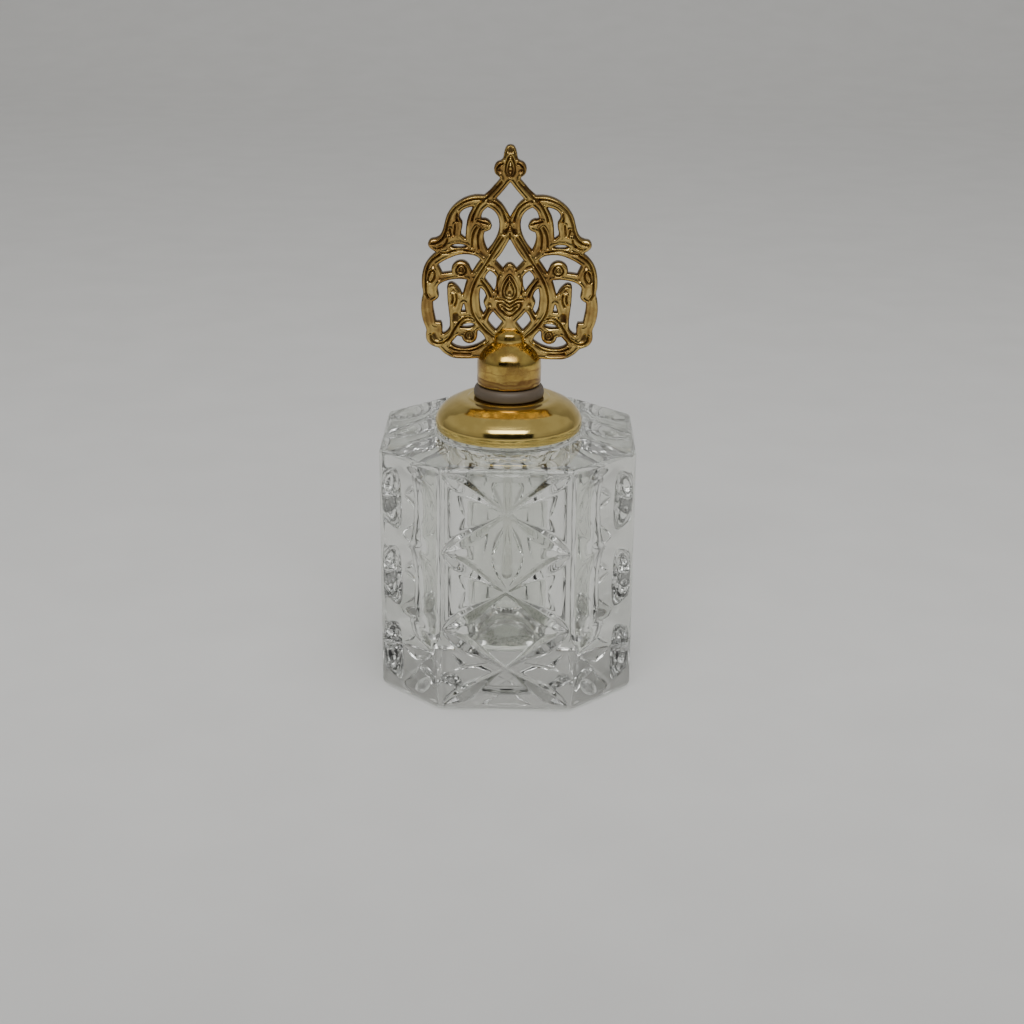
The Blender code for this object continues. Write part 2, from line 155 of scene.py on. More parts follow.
def rounded(corners, steps=5, spacing=0.5):
    """A profile through corners (radius, height, round). Each corner becomes a short curve, T1 (1-s)^2 + 2 P s (1-s)
    + T2 s^2, which touches both its sides, and long straight stretches get points in between."""
    places = np.array([c[:2] for c in corners], float)
    out = [places[:1]]
    for k in range(1, len(corners) - 1):
        before, here, after = places[k - 1], places[k], places[k + 1]
        to_before, to_after = before - here, after - here
        reach = min(corners[k][2], 0.48 * np.hypot(*to_before), 0.48 * np.hypot(*to_after))
        first = here + to_before / np.hypot(*to_before) * reach
        last = here + to_after / np.hypot(*to_after) * reach
        s = np.linspace(0, 1, steps + 1)[:, None]
        out.append(first * (1 - s) ** 2 + 2 * here * s * (1 - s) + last * s ** 2 if reach > 0 else here[None])
    out.append(places[-1:])
    points = np.concatenate(out)
    return stretched(points, spacing)


def stretched(points, spacing, near_end=0.04, shortest=0.15):
    """The same line with more points on its long stretches, and one close to each end of a stretch, which keeps
    smooth shading from bending the flats."""
    out = []
    for a, b in zip(points[:-1], points[1:]):
        length = np.hypot(*(b - a))
        count = max(1, int(np.ceil(length / spacing)))
        s = np.linspace(0, 1, count + 1)[:-1]
        if count == 1 and length > shortest:
            s = np.array([0, near_end / length, 1 - near_end / length])
        elif count > 1:
            s = np.concatenate([[0, near_end / length], s[1:], [1 - near_end / length]])
        out.append(a + (b - a) * s[:, None])
    out.append(points[-1:])
    return np.concatenate(out)


def settle(piece, body, slot, *nodes):
    """The finished piece rides on its body and stands for its CAD nodes."""
    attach(piece, body)
    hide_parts(*nodes)


# %% [markdown]
# ## The glass
# A bottle like this is pressed in a mould and then polished, so its cuts are soft: every groove and rim is
# rounded by a few tenths of a millimetre. The glass could be a block with Booleans, but a Boolean leaves hard
# rims and long thin faces, which show badly in refraction. It is made instead as one closed sheet of points
# that starts in the middle of the well's floor, goes up the well and out of the neck, down the outside, and
# ends in the middle of the base. Each row is a circle, an octagon, or something between the two.

# %% Glass sizes
low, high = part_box("glass_bottle")
HALF_WIDTH = high.x / MM
NECK_TOP = high.z / MM
BODY_TOP = 36.0
CORNER_CUT = 8.6
FACE_HALF = HALF_WIDTH - CORNER_CUT
CORNER_HALF = CORNER_CUT / math.sqrt(2)
CORNER_DISTANCE = (HALF_WIDTH + FACE_HALF) / math.sqrt(2)
CELL_PITCH = 11.5
CELL_HALF_WIDTH = 8.75
PATTERN_BOTTOM = 0.9
PATTERN_TOP = PATTERN_BOTTOM + 3 * CELL_PITCH
CELL_STEPS = 28
CORNER_STEPS = 34
FILLET_STEPS = 6
print(f"glass {2 * HALF_WIDTH:.1f} mm across, neck to {NECK_TOP:.1f} mm")


# %% [markdown]
# ### The octagon
# The outline has four wide faces, four corner faces and eight rounded edges between them. Every point keeps
# its outward direction, because the cuts are pressed straight inwards from it.

# %% Outline of the octagon
def octagon():
    """Points and outward directions of the outline, anticlockwise from the left end of the front face, with
    each point's face number (0 to 7) and its place along that face."""
    reach = FACE_HALF - CELL_HALF_WIDTH
    places, outward, face, along = [], [], [], []
    for number in range(8):
        wide = number % 2 == 0
        azimuth = math.radians(-90 + 45 * number)
        normal = np.array((math.cos(azimuth), math.sin(azimuth)))
        side = np.array((-normal[1], normal[0]))
        half, distance = (FACE_HALF, HALF_WIDTH) if wide else (CORNER_HALF, CORNER_DISTANCE)
        steps = 2 * CELL_STEPS if wide else CORNER_STEPS
        s = np.linspace(-(half - reach), half - reach, steps + 1)
        places.append(normal * distance + side * s[:, None])
        outward.append(np.broadcast_to(normal, (len(s), 2)))
        face.append(np.full(len(s), number))
        along.append(s)
        turn = np.radians(45) * np.arange(1, FILLET_STEPS) / FILLET_STEPS
        directions = np.cos(turn)[:, None] * normal + np.sin(turn)[:, None] * side
        radius = reach / math.tan(math.radians(22.5))
        centre = normal * (distance - radius) + side * (half - reach)
        places.append(centre + radius * directions)
        outward.append(directions)
        face.append(np.full(len(turn), number))
        along.append(half - reach + radius * np.sin(turn))
    return [np.concatenate(part) for part in (places, outward, face, along)]


outline, outward, face_of, along_face = octagon()
print("octagon has", len(outline), "columns")


# %% [markdown]
# ### The cuts
# Each wide face holds three crosses of leaf-shaped V cuts, and each corner face three round dishes. A V cut is
# deepest on a diagonal of its cell. A dish is the part of the glass that a ball would press in. Where a cut
# starts, max(0, x) would leave a hard rim, so a softer form of it is used: half of x + sqrt(x^2 + k^2).

# %% Depth of the cuts
DISH_DEPTH = 1.3
DISH_RADIUS = 5.35
LEAF_LENGTH = 10.3
LEAF_DEPTH = 0.85
LEAF_MIDDLE_WIDTH = 0.22
LEAF_OUTER_WIDTH = 1.05
RIM_SOFTNESS = 0.26
BALL = (DISH_RADIUS ** 2 + DISH_DEPTH ** 2) / (2 * DISH_DEPTH)


def soft_positive(x, k):
    """x where x is well above nought and nought well below, rounded over a width k."""
    return 0.5 * (x + np.sqrt(x * x + k * k))


def mitre_depth(s, z):
    """Depth of a cell's cross at s along the face and z above the cell's middle. At a distance l from the middle
    a leaf's half width is A (1 - l/L) + B sin(pi (l/L)^1.8), with A and B its widths above, and its section is
    a V. So a leaf is narrow where the four meet, and fullest near its outer end."""
    slope = math.atan2(CELL_PITCH / 2, CELL_HALF_WIDTH)
    depth = np.zeros(np.broadcast(s, z).shape)
    for side in (-1, 1):
        reach = np.abs(s * math.cos(slope) + side * z * math.sin(slope)) / LEAF_LENGTH
        away = np.abs(side * z * math.cos(slope) - s * math.sin(slope))
        inside = np.clip(reach, 0, 1)
        width = LEAF_MIDDLE_WIDTH * (1 - inside) + LEAF_OUTER_WIDTH * np.sin(np.pi * inside ** 1.8)
        groove = LEAF_DEPTH * (0.25 + 0.75 * np.sin(np.pi * inside ** 1.5))
        cut = groove * soft_positive(1 - away / np.maximum(width, 0.05), 0.12) * (reach < 1)
        depth = np.maximum(depth, cut)
    return depth


def dish_depth(place, normal, z, face):
    """How far the ball of the nearest dish reaches into the glass along -normal from a point. With m the vector
    from the ball's centre, the far side of the ball is at m.n + sqrt((m.n)^2 - m.m + R^2)."""
    azimuth = np.radians(-90 + 45 * face)
    centre = (CORNER_DISTANCE - DISH_DEPTH + BALL) * np.stack([np.cos(azimuth), np.sin(azimuth)], axis=-1)
    cell = np.clip(np.floor((z - PATTERN_BOTTOM) / CELL_PITCH), 0, 2)
    height = z - PATTERN_BOTTOM - (cell + 0.5) * CELL_PITCH
    m = place - centre
    m_n = (m * normal).sum(-1)
    under_root = m_n ** 2 - (m * m).sum(-1) - height ** 2 + BALL ** 2
    meets = (under_root > 0) & (m_n < 0)
    reach = np.where(meets, m_n + np.sqrt(np.maximum(under_root, 0)), -2.0)
    return soft_positive(reach, RIM_SOFTNESS)


def cut_depth(z):
    """Depth of all the cuts on every column of the octagon, at the heights z."""
    z = z[:, None]
    wide = face_of % 2 == 0
    on_face = np.abs(along_face) <= CELL_HALF_WIDTH + 1e-6
    cell = np.clip(np.floor((z - PATTERN_BOTTOM) / CELL_PITCH), 0, 2)
    from_middle = z - PATTERN_BOTTOM - (cell + 0.5) * CELL_PITCH
    crosses = mitre_depth(along_face[None, :], from_middle) * (wide & on_face)
    dishes = np.zeros_like(crosses)
    for face in (1, 3, 5, 7):
        near = np.abs((face_of - face + 4) % 8 - 4) <= 1
        found = dish_depth(outline[near][None], outward[near][None], z, np.array(face))
        dishes[:, near] = np.maximum(dishes[:, near], found)
    return np.maximum(crosses, dishes)


# %% [markdown]
# ### The whole sheet
# The rows are listed from the well's floor to the base. A round row is a radius and a height. An eight-sided row
# is how far it is set in from the full width, and a height. A few rows in between blend from one to the other.

# %% Glass sheet
SEAT_RADIUS = 10.6
SEAT_RIM_RADIUS = SEAT_RADIUS + 0.4
WELL_RADIUS = 9.0
WELL_FLOOR = 6.0
BORE_RADIUS = 4.2
TOP_ROUND = BODY_TOP - PATTERN_TOP
FOOT_ROUND = PATTERN_BOTTOM
RECESS_RADIUS = 9.0
RECESS_DEPTH = 0.6
FOOT_RING_RADIUS = 13.0
BRIDGE_ROWS = 4

inner = rounded([
    (0, WELL_FLOOR, 0), (WELL_RADIUS, WELL_FLOOR, 3.2), (WELL_RADIUS, 33.8, 4.6), (BORE_RADIUS, 33.8, 1.2),
    (BORE_RADIUS, NECK_TOP, 0.3), (7.0, NECK_TOP, 0.35), (7.0, 37.9, 0.4), (6.2, 37.7, 0.4), (6.2, 36.3, 0.4),
    (SEAT_RADIUS, 36.3, 0.2), (SEAT_RADIUS, BODY_TOP, 0.12), (SEAT_RIM_RADIUS, BODY_TOP, 0)], steps=6, spacing=1.6)
turn = np.radians(np.linspace(0, 90, 6))
top_edge = np.stack([TOP_ROUND * (1 - np.sin(turn)), PATTERN_TOP + TOP_ROUND * np.cos(turn)], axis=-1)[:-1]
foot_edge = np.stack([FOOT_ROUND * (1 - np.cos(turn)), PATTERN_BOTTOM - FOOT_ROUND * np.sin(turn)], axis=-1)[1:]
side_heights = np.linspace(PATTERN_TOP, PATTERN_BOTTOM, 6 * CELL_STEPS + 1)
side = np.stack([np.zeros_like(side_heights), side_heights], axis=-1)
octagon_rows = np.concatenate([top_edge, side, foot_edge])
base = rounded([(FOOT_RING_RADIUS, 0, 0), (RECESS_RADIUS, 0, 0.5), (RECESS_RADIUS - 2, RECESS_DEPTH, 1.0),
                (0, RECESS_DEPTH, 0)], steps=4, spacing=1.6)


def glass_points():
    """All rows as one array: circles up and over the neck, a bridge to the octagon, the cut sides, the base."""
    angle = np.arctan2(outline[:, 1], outline[:, 0])
    ray = np.stack([np.cos(angle), np.sin(angle)], axis=-1)
    depth = cut_depth(octagon_rows[:, 1]) + octagon_rows[:, :1]
    flanks = outline[None] - outward[None] * depth[..., None]
    rim = outline - outward * TOP_ROUND
    bridge = np.linspace(0, 1, BRIDGE_ROWS + 2)[1:-1, None, None]
    shoulder = ray * SEAT_RIM_RADIUS * (1 - bridge) + rim * bridge
    foot_rim = flanks[-1]
    resting = foot_rim * (1 - bridge) + ray * FOOT_RING_RADIUS * bridge
    rows = [ray[None] * inner[:, :1, None], shoulder, flanks, resting, ray[None] * base[:, :1, None]]
    heights = [inner[:, 1], np.full(BRIDGE_ROWS, BODY_TOP), octagon_rows[:, 1], np.zeros(BRIDGE_ROWS), base[:, 1]]
    flat, z = np.concatenate(rows), np.concatenate(heights)
    return np.concatenate([flat, np.broadcast_to(z[:, None, None], (*flat.shape[:2], 1))], axis=-1)


def split_along_cuts(faces):
    """The squares of the wide faces cut into triangles. The cut runs up to the right where the cross does, and down
    where it does, so that the bottom of each V is one straight edge."""
    row, column = faces[:, 0] // len(outline), faces[:, 0] % len(outline)
    z = sheet_heights[row]
    on_side = (row >= first_side_row) & (row < first_side_row + len(side_heights) - 1)
    on_face = (face_of[column] % 2 == 0) & (along_face[column] < CELL_HALF_WIDTH - 1e-6)
    on_face &= along_face[column] >= -CELL_HALF_WIDTH - 1e-6
    picked = on_side & on_face
    a, b, c, d = faces[picked].T
    s = along_face[column[picked]] + 1e-3
    cell = np.floor((z[picked] - 1e-3 - PATTERN_BOTTOM) / CELL_PITCH)
    from_middle = z[picked] - 1e-3 - PATTERN_BOTTOM - (cell + 0.5) * CELL_PITCH
    rising = (s * from_middle > 0)[:, None]
    first = np.where(rising, np.stack([a, b, d], axis=-1), np.stack([a, b, c], axis=-1))
    second = np.where(rising, np.stack([b, c, d], axis=-1), np.stack([a, c, d], axis=-1))
    return faces[~picked], np.concatenate([first, second])


sheet = glass_points()
rows, columns = sheet.shape[:2]
sheet_heights = sheet[:, 0, 2]
first_side_row = len(inner) + BRIDGE_ROWS + len(top_edge)
whole, halves = split_along_cuts(grid_faces(rows, columns))
points, quads, fans = with_poles(sheet.reshape(-1, 3), whole, rows, columns)
glass = add_mesh("cut_glass_bottle", points, quads, np.concatenate([fans, halves - (columns - 1)]))
settle(glass, "bottle", "crystal_glass", "glass_bottle")


# %% [markdown]
# ## Glass as a material
# Crystal is clear and faintly grey-green. A Glass shader would do, but the Principled one with full transmission
# takes a colour, a haze and a bump together. Pressed glass isn't optically flat: a broad, very weak bump bends
# what is seen through it, and a finer one gives the polish its slight ripple. A ring of dried scent on the well's
# floor is a hazy, darker patch of the same shader. Light that reaches the table has to pass through the glass
# too, so for shadow rays the material turns into a pale filter.

# %% Material helpers
def add_node(tree, kind, inputs=None, **settings):
    """A node with its settings. Each input given is linked if it's another node's socket, or else set as a value."""
    node = tree.nodes.new(kind)
    for name, value in settings.items():
        setattr(node, name, value)
    for name, value in (inputs or {}).items():
        if isinstance(value, bpy.types.NodeSocket):
            tree.links.new(value, node.inputs[name])
        else:
            node.inputs[name].default_value = value
    return node


def new_material(name):
    """An empty node material, its node tree, and a node that says where on the piece each point lies."""
    material = bpy.data.materials.new(name)
    material.use_nodes = True
    material.node_tree.nodes.clear()
    return material, material.node_tree, add_node(material.node_tree, "ShaderNodeTexCoord")


def show(tree, surface):
    """Joins the finished shader's socket to the material's output."""
    add_node(tree, "ShaderNodeOutputMaterial", {"Surface": surface})


def noise(tree, where, scale, detail=2.0, roughness=0.5):
    """A cloudy pattern over the piece, with so many clouds to the metre."""
    return add_node(tree, "ShaderNodeTexNoise", {
        "Vector": where.outputs["Object"], "Scale": scale, "Detail": detail, "Roughness": roughness})


def bumps(tree, height, strength, distance, normal=None):
    """The normal tilted as if the surface rose and fell by a height. A normal tilted before may be passed on."""
    inputs = {"Height": height.outputs["Fac"], "Strength": strength, "Distance": distance * MM}
    return add_node(tree, "ShaderNodeBump", inputs if normal is None else {**inputs, "Normal": normal}).outputs[0]


def grey(level):
    """A colour with the same red, green and blue."""
    return level, level, level


def ramp(tree, source, stops):
    """A colour ramp with the given (position, colour) stops."""
    node = add_node(tree, "ShaderNodeValToRGB", {"Fac": source})
    marks = node.color_ramp.elements
    while len(marks) < len(stops):
        marks.new(0.5)
    for mark, (position, colour) in zip(marks, stops):
        mark.position = position
        mark.color = (*colour, 1.0)
    return node


def product(tree, first, second):
    """Two values multiplied."""
    return add_node(tree, "ShaderNodeMath", {0: first, 1: second}, operation="MULTIPLY").outputs[0]


# %% Crystal glass
def band(tree, source, low, high, soft):
    """1 where a value lies between low and high, fading to 0 over a width soft on each side."""
    return product(tree, *[
        add_node(tree, "ShaderNodeMapRange", {"Value": source, "From Min": start, "From Max": end}).outputs["Result"]
        for start, end in ((low - soft, low), (high + soft, high))])


def residue(tree, where):
    """How cloudy the floor of the well is (0 to 1): a ring of dried scent, broken up by a noise."""
    split = add_node(tree, "ShaderNodeSeparateXYZ", {"Vector": where.outputs["Object"]})
    flat = add_node(tree, "ShaderNodeCombineXYZ", {"X": split.outputs["X"], "Y": split.outputs["Y"]})
    radius = add_node(tree, "ShaderNodeVectorMath", {0: flat.outputs["Vector"]}, operation="LENGTH")
    low_down = band(tree, split.outputs["Z"], (WELL_FLOOR - 0.4) * MM, (WELL_FLOOR + 1.2) * MM, 0.3 * MM)
    ring = band(tree, radius.outputs["Value"], 3.2 * MM, (WELL_RADIUS - 1.6) * MM, 0.5 * MM)
    patches = noise(tree, where, 500.0, 4.0, 0.7)
    broken = ramp(tree, patches.outputs["Fac"], [(0.35, grey(0.35)), (0.6, grey(1.0))])
    return product(tree, product(tree, low_down, ring), broken.outputs["Color"])


GLASS_IOR = 1.52
GLASS_TINT = (0.88, 0.895, 0.858, 1.0)
SHADOW_TINT = (0.64, 0.65, 0.64, 1.0)
RESIDUE_HAZE = 0.18


def crystal():
    """Clear glass with a ripple, the dried residue in it, and a filter in its place for shadow rays."""
    material, tree, where = new_material("crystal_glass")
    ripple = bumps(tree, noise(tree, where, 900.0, 2.0), 0.03, 0.05)
    sway = bumps(tree, noise(tree, where, 160.0, 1.0), 0.25, 0.15, normal=ripple)
    cloudy = residue(tree, where)
    specks = noise(tree, where, 2200.0, 2.0)
    dark = ramp(tree, specks.outputs["Fac"], [(0.44, (0.03, 0.03, 0.025)), (0.5, (0.36, 0.36, 0.31))])
    tint = add_node(tree, "ShaderNodeMixRGB", {
        "Fac": cloudy, "Color1": GLASS_TINT, "Color2": dark.outputs["Color"]})
    haze = add_node(tree, "ShaderNodeMapRange", {"Value": cloudy, "To Max": RESIDUE_HAZE})
    clear = add_node(tree, "ShaderNodeBsdfPrincipled", {
        "Base Color": tint.outputs["Color"], "Normal": sway, "Roughness": haze.outputs["Result"],
        "IOR": GLASS_IOR, "Transmission Weight": 1.0})
    for_shadows = add_node(tree, "ShaderNodeBsdfTransparent", {"Color": SHADOW_TINT})
    path = add_node(tree, "ShaderNodeLightPath")
    mixed = add_node(tree, "ShaderNodeMixShader", {
        "Fac": path.outputs["Is Shadow Ray"], 1: clear.outputs["BSDF"], 2: for_shadows.outputs["BSDF"]})
    show(tree, mixed.outputs["Shader"])
    return material


glass.data.materials.append(crystal())


# %% [markdown]
# ## The collar
# The collar is drawn from thin sheet and rolled at its lower lip. Its outer profile is a smooth dome over an
# upright band, with a shallow flat on top. A bevelled cylinder would come near, but a mirror finish shows every
# step in its curve. So its profile is drawn, and turned as a closed ring: down the outside, then up inside.

# %% Collar
collar_low, collar_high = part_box("collar")
LIP_STANDS_OUT = 0.2
COLLAR_RADIUS = collar_high.x / MM + LIP_STANDS_OUT
COLLAR_FOOT = collar_low.z / MM
COLLAR_TOP = collar_high.z / MM


def collar_profile():
    """Outside: flat top, step, dome, band and rolled lip. Inside: the same sheet 0.8 mm in."""
    outside = [(3.4, COLLAR_TOP, 0), (5.7, COLLAR_TOP, 0.25), (5.9, COLLAR_TOP - 0.12, 0.2), (7.2, 41.05, 0.9),
               (9.25, 40.05, 1.4), (10.25, 38.75, 1.0), (COLLAR_RADIUS, 37.9, 0.6), (COLLAR_RADIUS, 37.35, 0.15),
               (COLLAR_RADIUS - 0.17, 37.22, 0.08), (COLLAR_RADIUS - 0.12, 36.95, 0.15),
               (COLLAR_RADIUS - 0.3, COLLAR_FOOT, 0.25), (COLLAR_RADIUS - 0.9, COLLAR_FOOT, 0.2)]
    inside = [(9.05, 37.0, 0.2), (9.05, 38.5, 0.5), (8.3, 39.6, 0.8), (6.8, COLLAR_TOP - 0.8, 0.5),
              (3.4, COLLAR_TOP - 0.8, 0.1), (3.4, COLLAR_TOP - 0.4, 0)]
    return rounded(outside + inside, steps=8, spacing=0.6)


collar = lathe("gold_collar", collar_profile(), columns=240, ring=True)
settle(collar, "collar", "collar_gold", "collar")

# %% [markdown]
# ## Plastic pieces
# The washer, plug, bush, snap ring and rod are moulded. Only the washer's rim and the lower part of the rod show
# until the stopper is pulled out, but each is a whole piece, with its edges rounded as a mould leaves them. Each
# is round, so a Screw modifier would turn it too. The lathe above is used, as it also rounds the corners.

# %% Washer, plug, bush, snap ring and rod
WASHER_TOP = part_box("sealing_washer")[1].z / MM
washer = lathe("soft_washer", rounded([
    (3.1, WASHER_TOP + 0.1, 0), (4.7, WASHER_TOP + 0.1, 0.4), (5.03, 42.3, 0.55), (5.0, 41.45, 0.4),
    (4.6, 41.3, 0.2), (3.1, 41.3, 0.1), (3.1, 42.2, 0)], steps=6, spacing=0.5), ring=True)
settle(washer, "seal", "frosted_plastic", "sealing_washer")

plug = lathe("stopper_plug_moulding", rounded([
    (0, 44.65, 0), (1.9, 44.65, 0.25), (1.9, 42.95, 0.1), (2.6, 42.95, 0.2), (2.6, 36.0, 0.5), (2.1, 35.2, 0.2),
    (1.15, 35.2, 0.1), (1.15, 38.95, 0.1), (0, 38.95, 0)], spacing=0.8), columns=96)
settle(plug, "stopper", "frosted_plastic", "stopper_plug")

bush = lathe("neck_bush", rounded([
    (5.6, 40.25, 0.15), (5.6, 39.85, 0.15), (3.95, 39.85, 0.1), (3.95, 34.7, 0.3), (3.55, 34.3, 0.2),
    (1.5, 34.3, 0.15), (1.5, 34.8, 0.15), (2.85, 35.0, 0.3), (2.85, 39.95, 0.2), (3.15, 40.25, 0.1),
    (4.4, 40.25, 0)], spacing=0.8), columns=96, ring=True)
settle(bush, "bottle", "frosted_plastic", "neck_insert")

snap_ring = lathe("collar_snap_ring", rounded([
    (7.8, 38.9, 0), (8.3, 38.9, 0.3), (8.8, 38.3, 0.3), (8.8, 36.75, 0.2), (6.65, 36.75, 0.2), (6.45, 37.05, 0.1),
    (6.45, 37.4, 0.1), (7.25, 38.0, 0.1), (7.25, 38.9, 0.1)], spacing=0.8), columns=96, ring=True)
settle(snap_ring, "collar", "frosted_plastic", "collar_inner_ring")

rod = lathe("dip_rod_moulding", rounded([
    (0, 38.7, 0), (1.0, 38.7, 0.15), (1.0, 19.5, 1.5), (1.25, 16.6, 1.2), (1.2, 15.0, 0.6), (0.7, 14.5, 0.4),
    (0, 14.5, 0)], steps=8, spacing=0.8), columns=64)
settle(rod, "stopper", "frosted_plastic", "dip_rod")


# %% [markdown]
# ### Moulded plastic
# One function makes the smoky washer, the milky hidden pieces and the clear rod. Light could be scattered under
# the surface, but the pieces are so small that a rough transmission looks the same and renders faster.

# %% Moulded plastic
PLASTIC_IOR = 1.5


def moulded_plastic(name, colour, roughness, transmission):
    """A plastic with a slight cloud in its colour, a fine grain, and so much light let through."""
    material, tree, where = new_material(name)
    cloud = noise(tree, where, 400.0, 3.0)
    tint = ramp(tree, cloud.outputs["Fac"], [(0.3, [0.85 * c for c in colour]), (0.75, colour)])
    shader = add_node(tree, "ShaderNodeBsdfPrincipled", {
        "Base Color": tint.outputs["Color"], "Normal": bumps(tree, noise(tree, where, 6000.0, 2.0), 0.2, 0.02),
        "Roughness": roughness, "IOR": PLASTIC_IOR, "Transmission Weight": transmission})
    show(tree, shader.outputs["BSDF"])
    return material


grey_plastic = moulded_plastic("smoky_plastic", (0.115, 0.088, 0.062), 0.45, 0.0)
pale_plastic = moulded_plastic("milky_plastic", (0.80, 0.79, 0.75), 0.3, 0.75)
clear_plastic = moulded_plastic("clear_plastic", (0.96, 0.96, 0.93), 0.03, 1.0)
washer.data.materials.append(grey_plastic)
rod.data.materials.append(clear_plastic)
for piece in (plug, bush, snap_ring):
    piece.data.materials.append(pale_plastic)

# %% [markdown]
# ## The hub
# The hub is a short drum with a dome and a small bead on it. A sphere and a cylinder joined together would meet in
# a hard crease, so one profile runs over all three. It is turned with a slight waviness, as on a thin plated
# casting: a mirror finish turns that into drifting bands of light and brown.

# %% Hub
hub_low, hub_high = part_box("finial_hub")
HUB_FOOT = hub_low.z / MM
HUB_TOP = hub_high.z / MM
DRUM_RADIUS = 4.5
SEAM_WIDTH = 0.12
SEAM_HEIGHT = 0.05


def hub_wobble(angle, z):
    """A few hundredths of a millimetre of unevenness: slow waves round and along the drum, and at each side a thin
    upright seam, where the halves of the mould met, that is exp(-(r sin(angle) / width)^2) of its full height."""
    slow = np.sin(2 * angle + 1.3 * z) + 0.7 * np.sin(3 * angle - 0.8 * z + 1.0)
    upright = np.sin(2.1 * z + 0.6 * np.sin(angle))
    seam = np.exp(-(DRUM_RADIUS * np.sin(angle) / SEAM_WIDTH) ** 2) * (z < 48.5)
    return 0.012 * slow + 0.014 * upright + SEAM_HEIGHT * seam


hub = lathe("gold_hub", rounded([
    (0, HUB_TOP + 0.55, 0), (1.15, 51.35, 0.6), (2.1, 50.55, 0.6), (2.27, 49.8, 0.35), (2.27, 49.45, 0.06),
    (2.7, 49.15, 0.5), (3.8, 48.2, 0.8), (DRUM_RADIUS, 47.0, 0.9), (DRUM_RADIUS, 43.35, 0.12), (4.38, HUB_FOOT, 0.1),
    (2.15, HUB_FOOT, 0.1), (2.15, 44.9, 0.1), (0, 44.9, 0)], steps=7, spacing=0.3), columns=240, wobble=hub_wobble)
settle(hub, "stopper", "hub_gold", "finial_hub")


# %% [markdown]
# ## The filigree plate
# The plate is a flat casting: flowing ribbons between openings, with lines and hollows pressed into both its
# faces. It could be carved with Booleans or sculpted, but both leave uneven faces. Here it is a field of heights
# instead. Smooth lines are laid through a few measured points, the distance from every place to those lines is
# worked out, and the distance gives the height: a rounded edge, a fine groove with a lip, a shallow hollow. Only
# the right half is listed, because the left half is its mirror image.

# %% Edge and openings of the plate
PLATE_EDGE = [
    (0, 76.95), (0.45, 76.8), (0.72, 76.4), (0.92, 75.7), (1.02, 75.1), (1.25, 74.85), (1.8, 74.6), (2.15, 74.15),
    (2.25, 73.6), (2.05, 73.0), (1.55, 72.55), (1.4, 72.3), (2.1, 71.5), (2.85, 70.65), (3.6, 70.02), (4.5, 70.05),
    (5.5, 69.9), (6.6, 69.45), (7.6, 68.75), (8.35, 67.9), (8.85, 67.0), (9.12, 66.0), (9.4, 65.0), (9.75, 64.35),
    (10.3, 64.02), (11.0, 63.85), (11.35, 63.45), (11.4, 63.05), (11.15, 62.6), (10.6, 62.2), (10.3, 62.0),
    (11.05, 61.35), (11.7, 60.5), (12.1, 59.6), (12.3, 58.4), (12.3, 57.2), (12.15, 56.3), (12.35, 55.3),
    (12.45, 54.2), (12.35, 53.0), (12.1, 52.0), (11.75, 51.0), (11.8, 50.2), (11.7, 49.5), (11.3, 48.9),
    (10.6, 48.5), (10.0, 48.3), (9.4, 47.7), (8.6, 47.15), (7.8, 46.85), (6.7, 46.78), (5.4, 46.8), (4.45, 46.85),
    (2.8, 46.75), (2.8, 45.75), (0, 45.75)]
MIDDLE_OPENINGS = [
    [(0, 71.84), (1.0, 70.6), (1.92, 69.56), (1.2, 68.94), (0.47, 67.9), (0, 67.0)],
    [(0, 63.97), (0.58, 62.93), (1.2, 61.9), (1.96, 60.95), (0.97, 59.85), (0.6, 60.3), (0.3, 60.52), (0, 60.6)]]
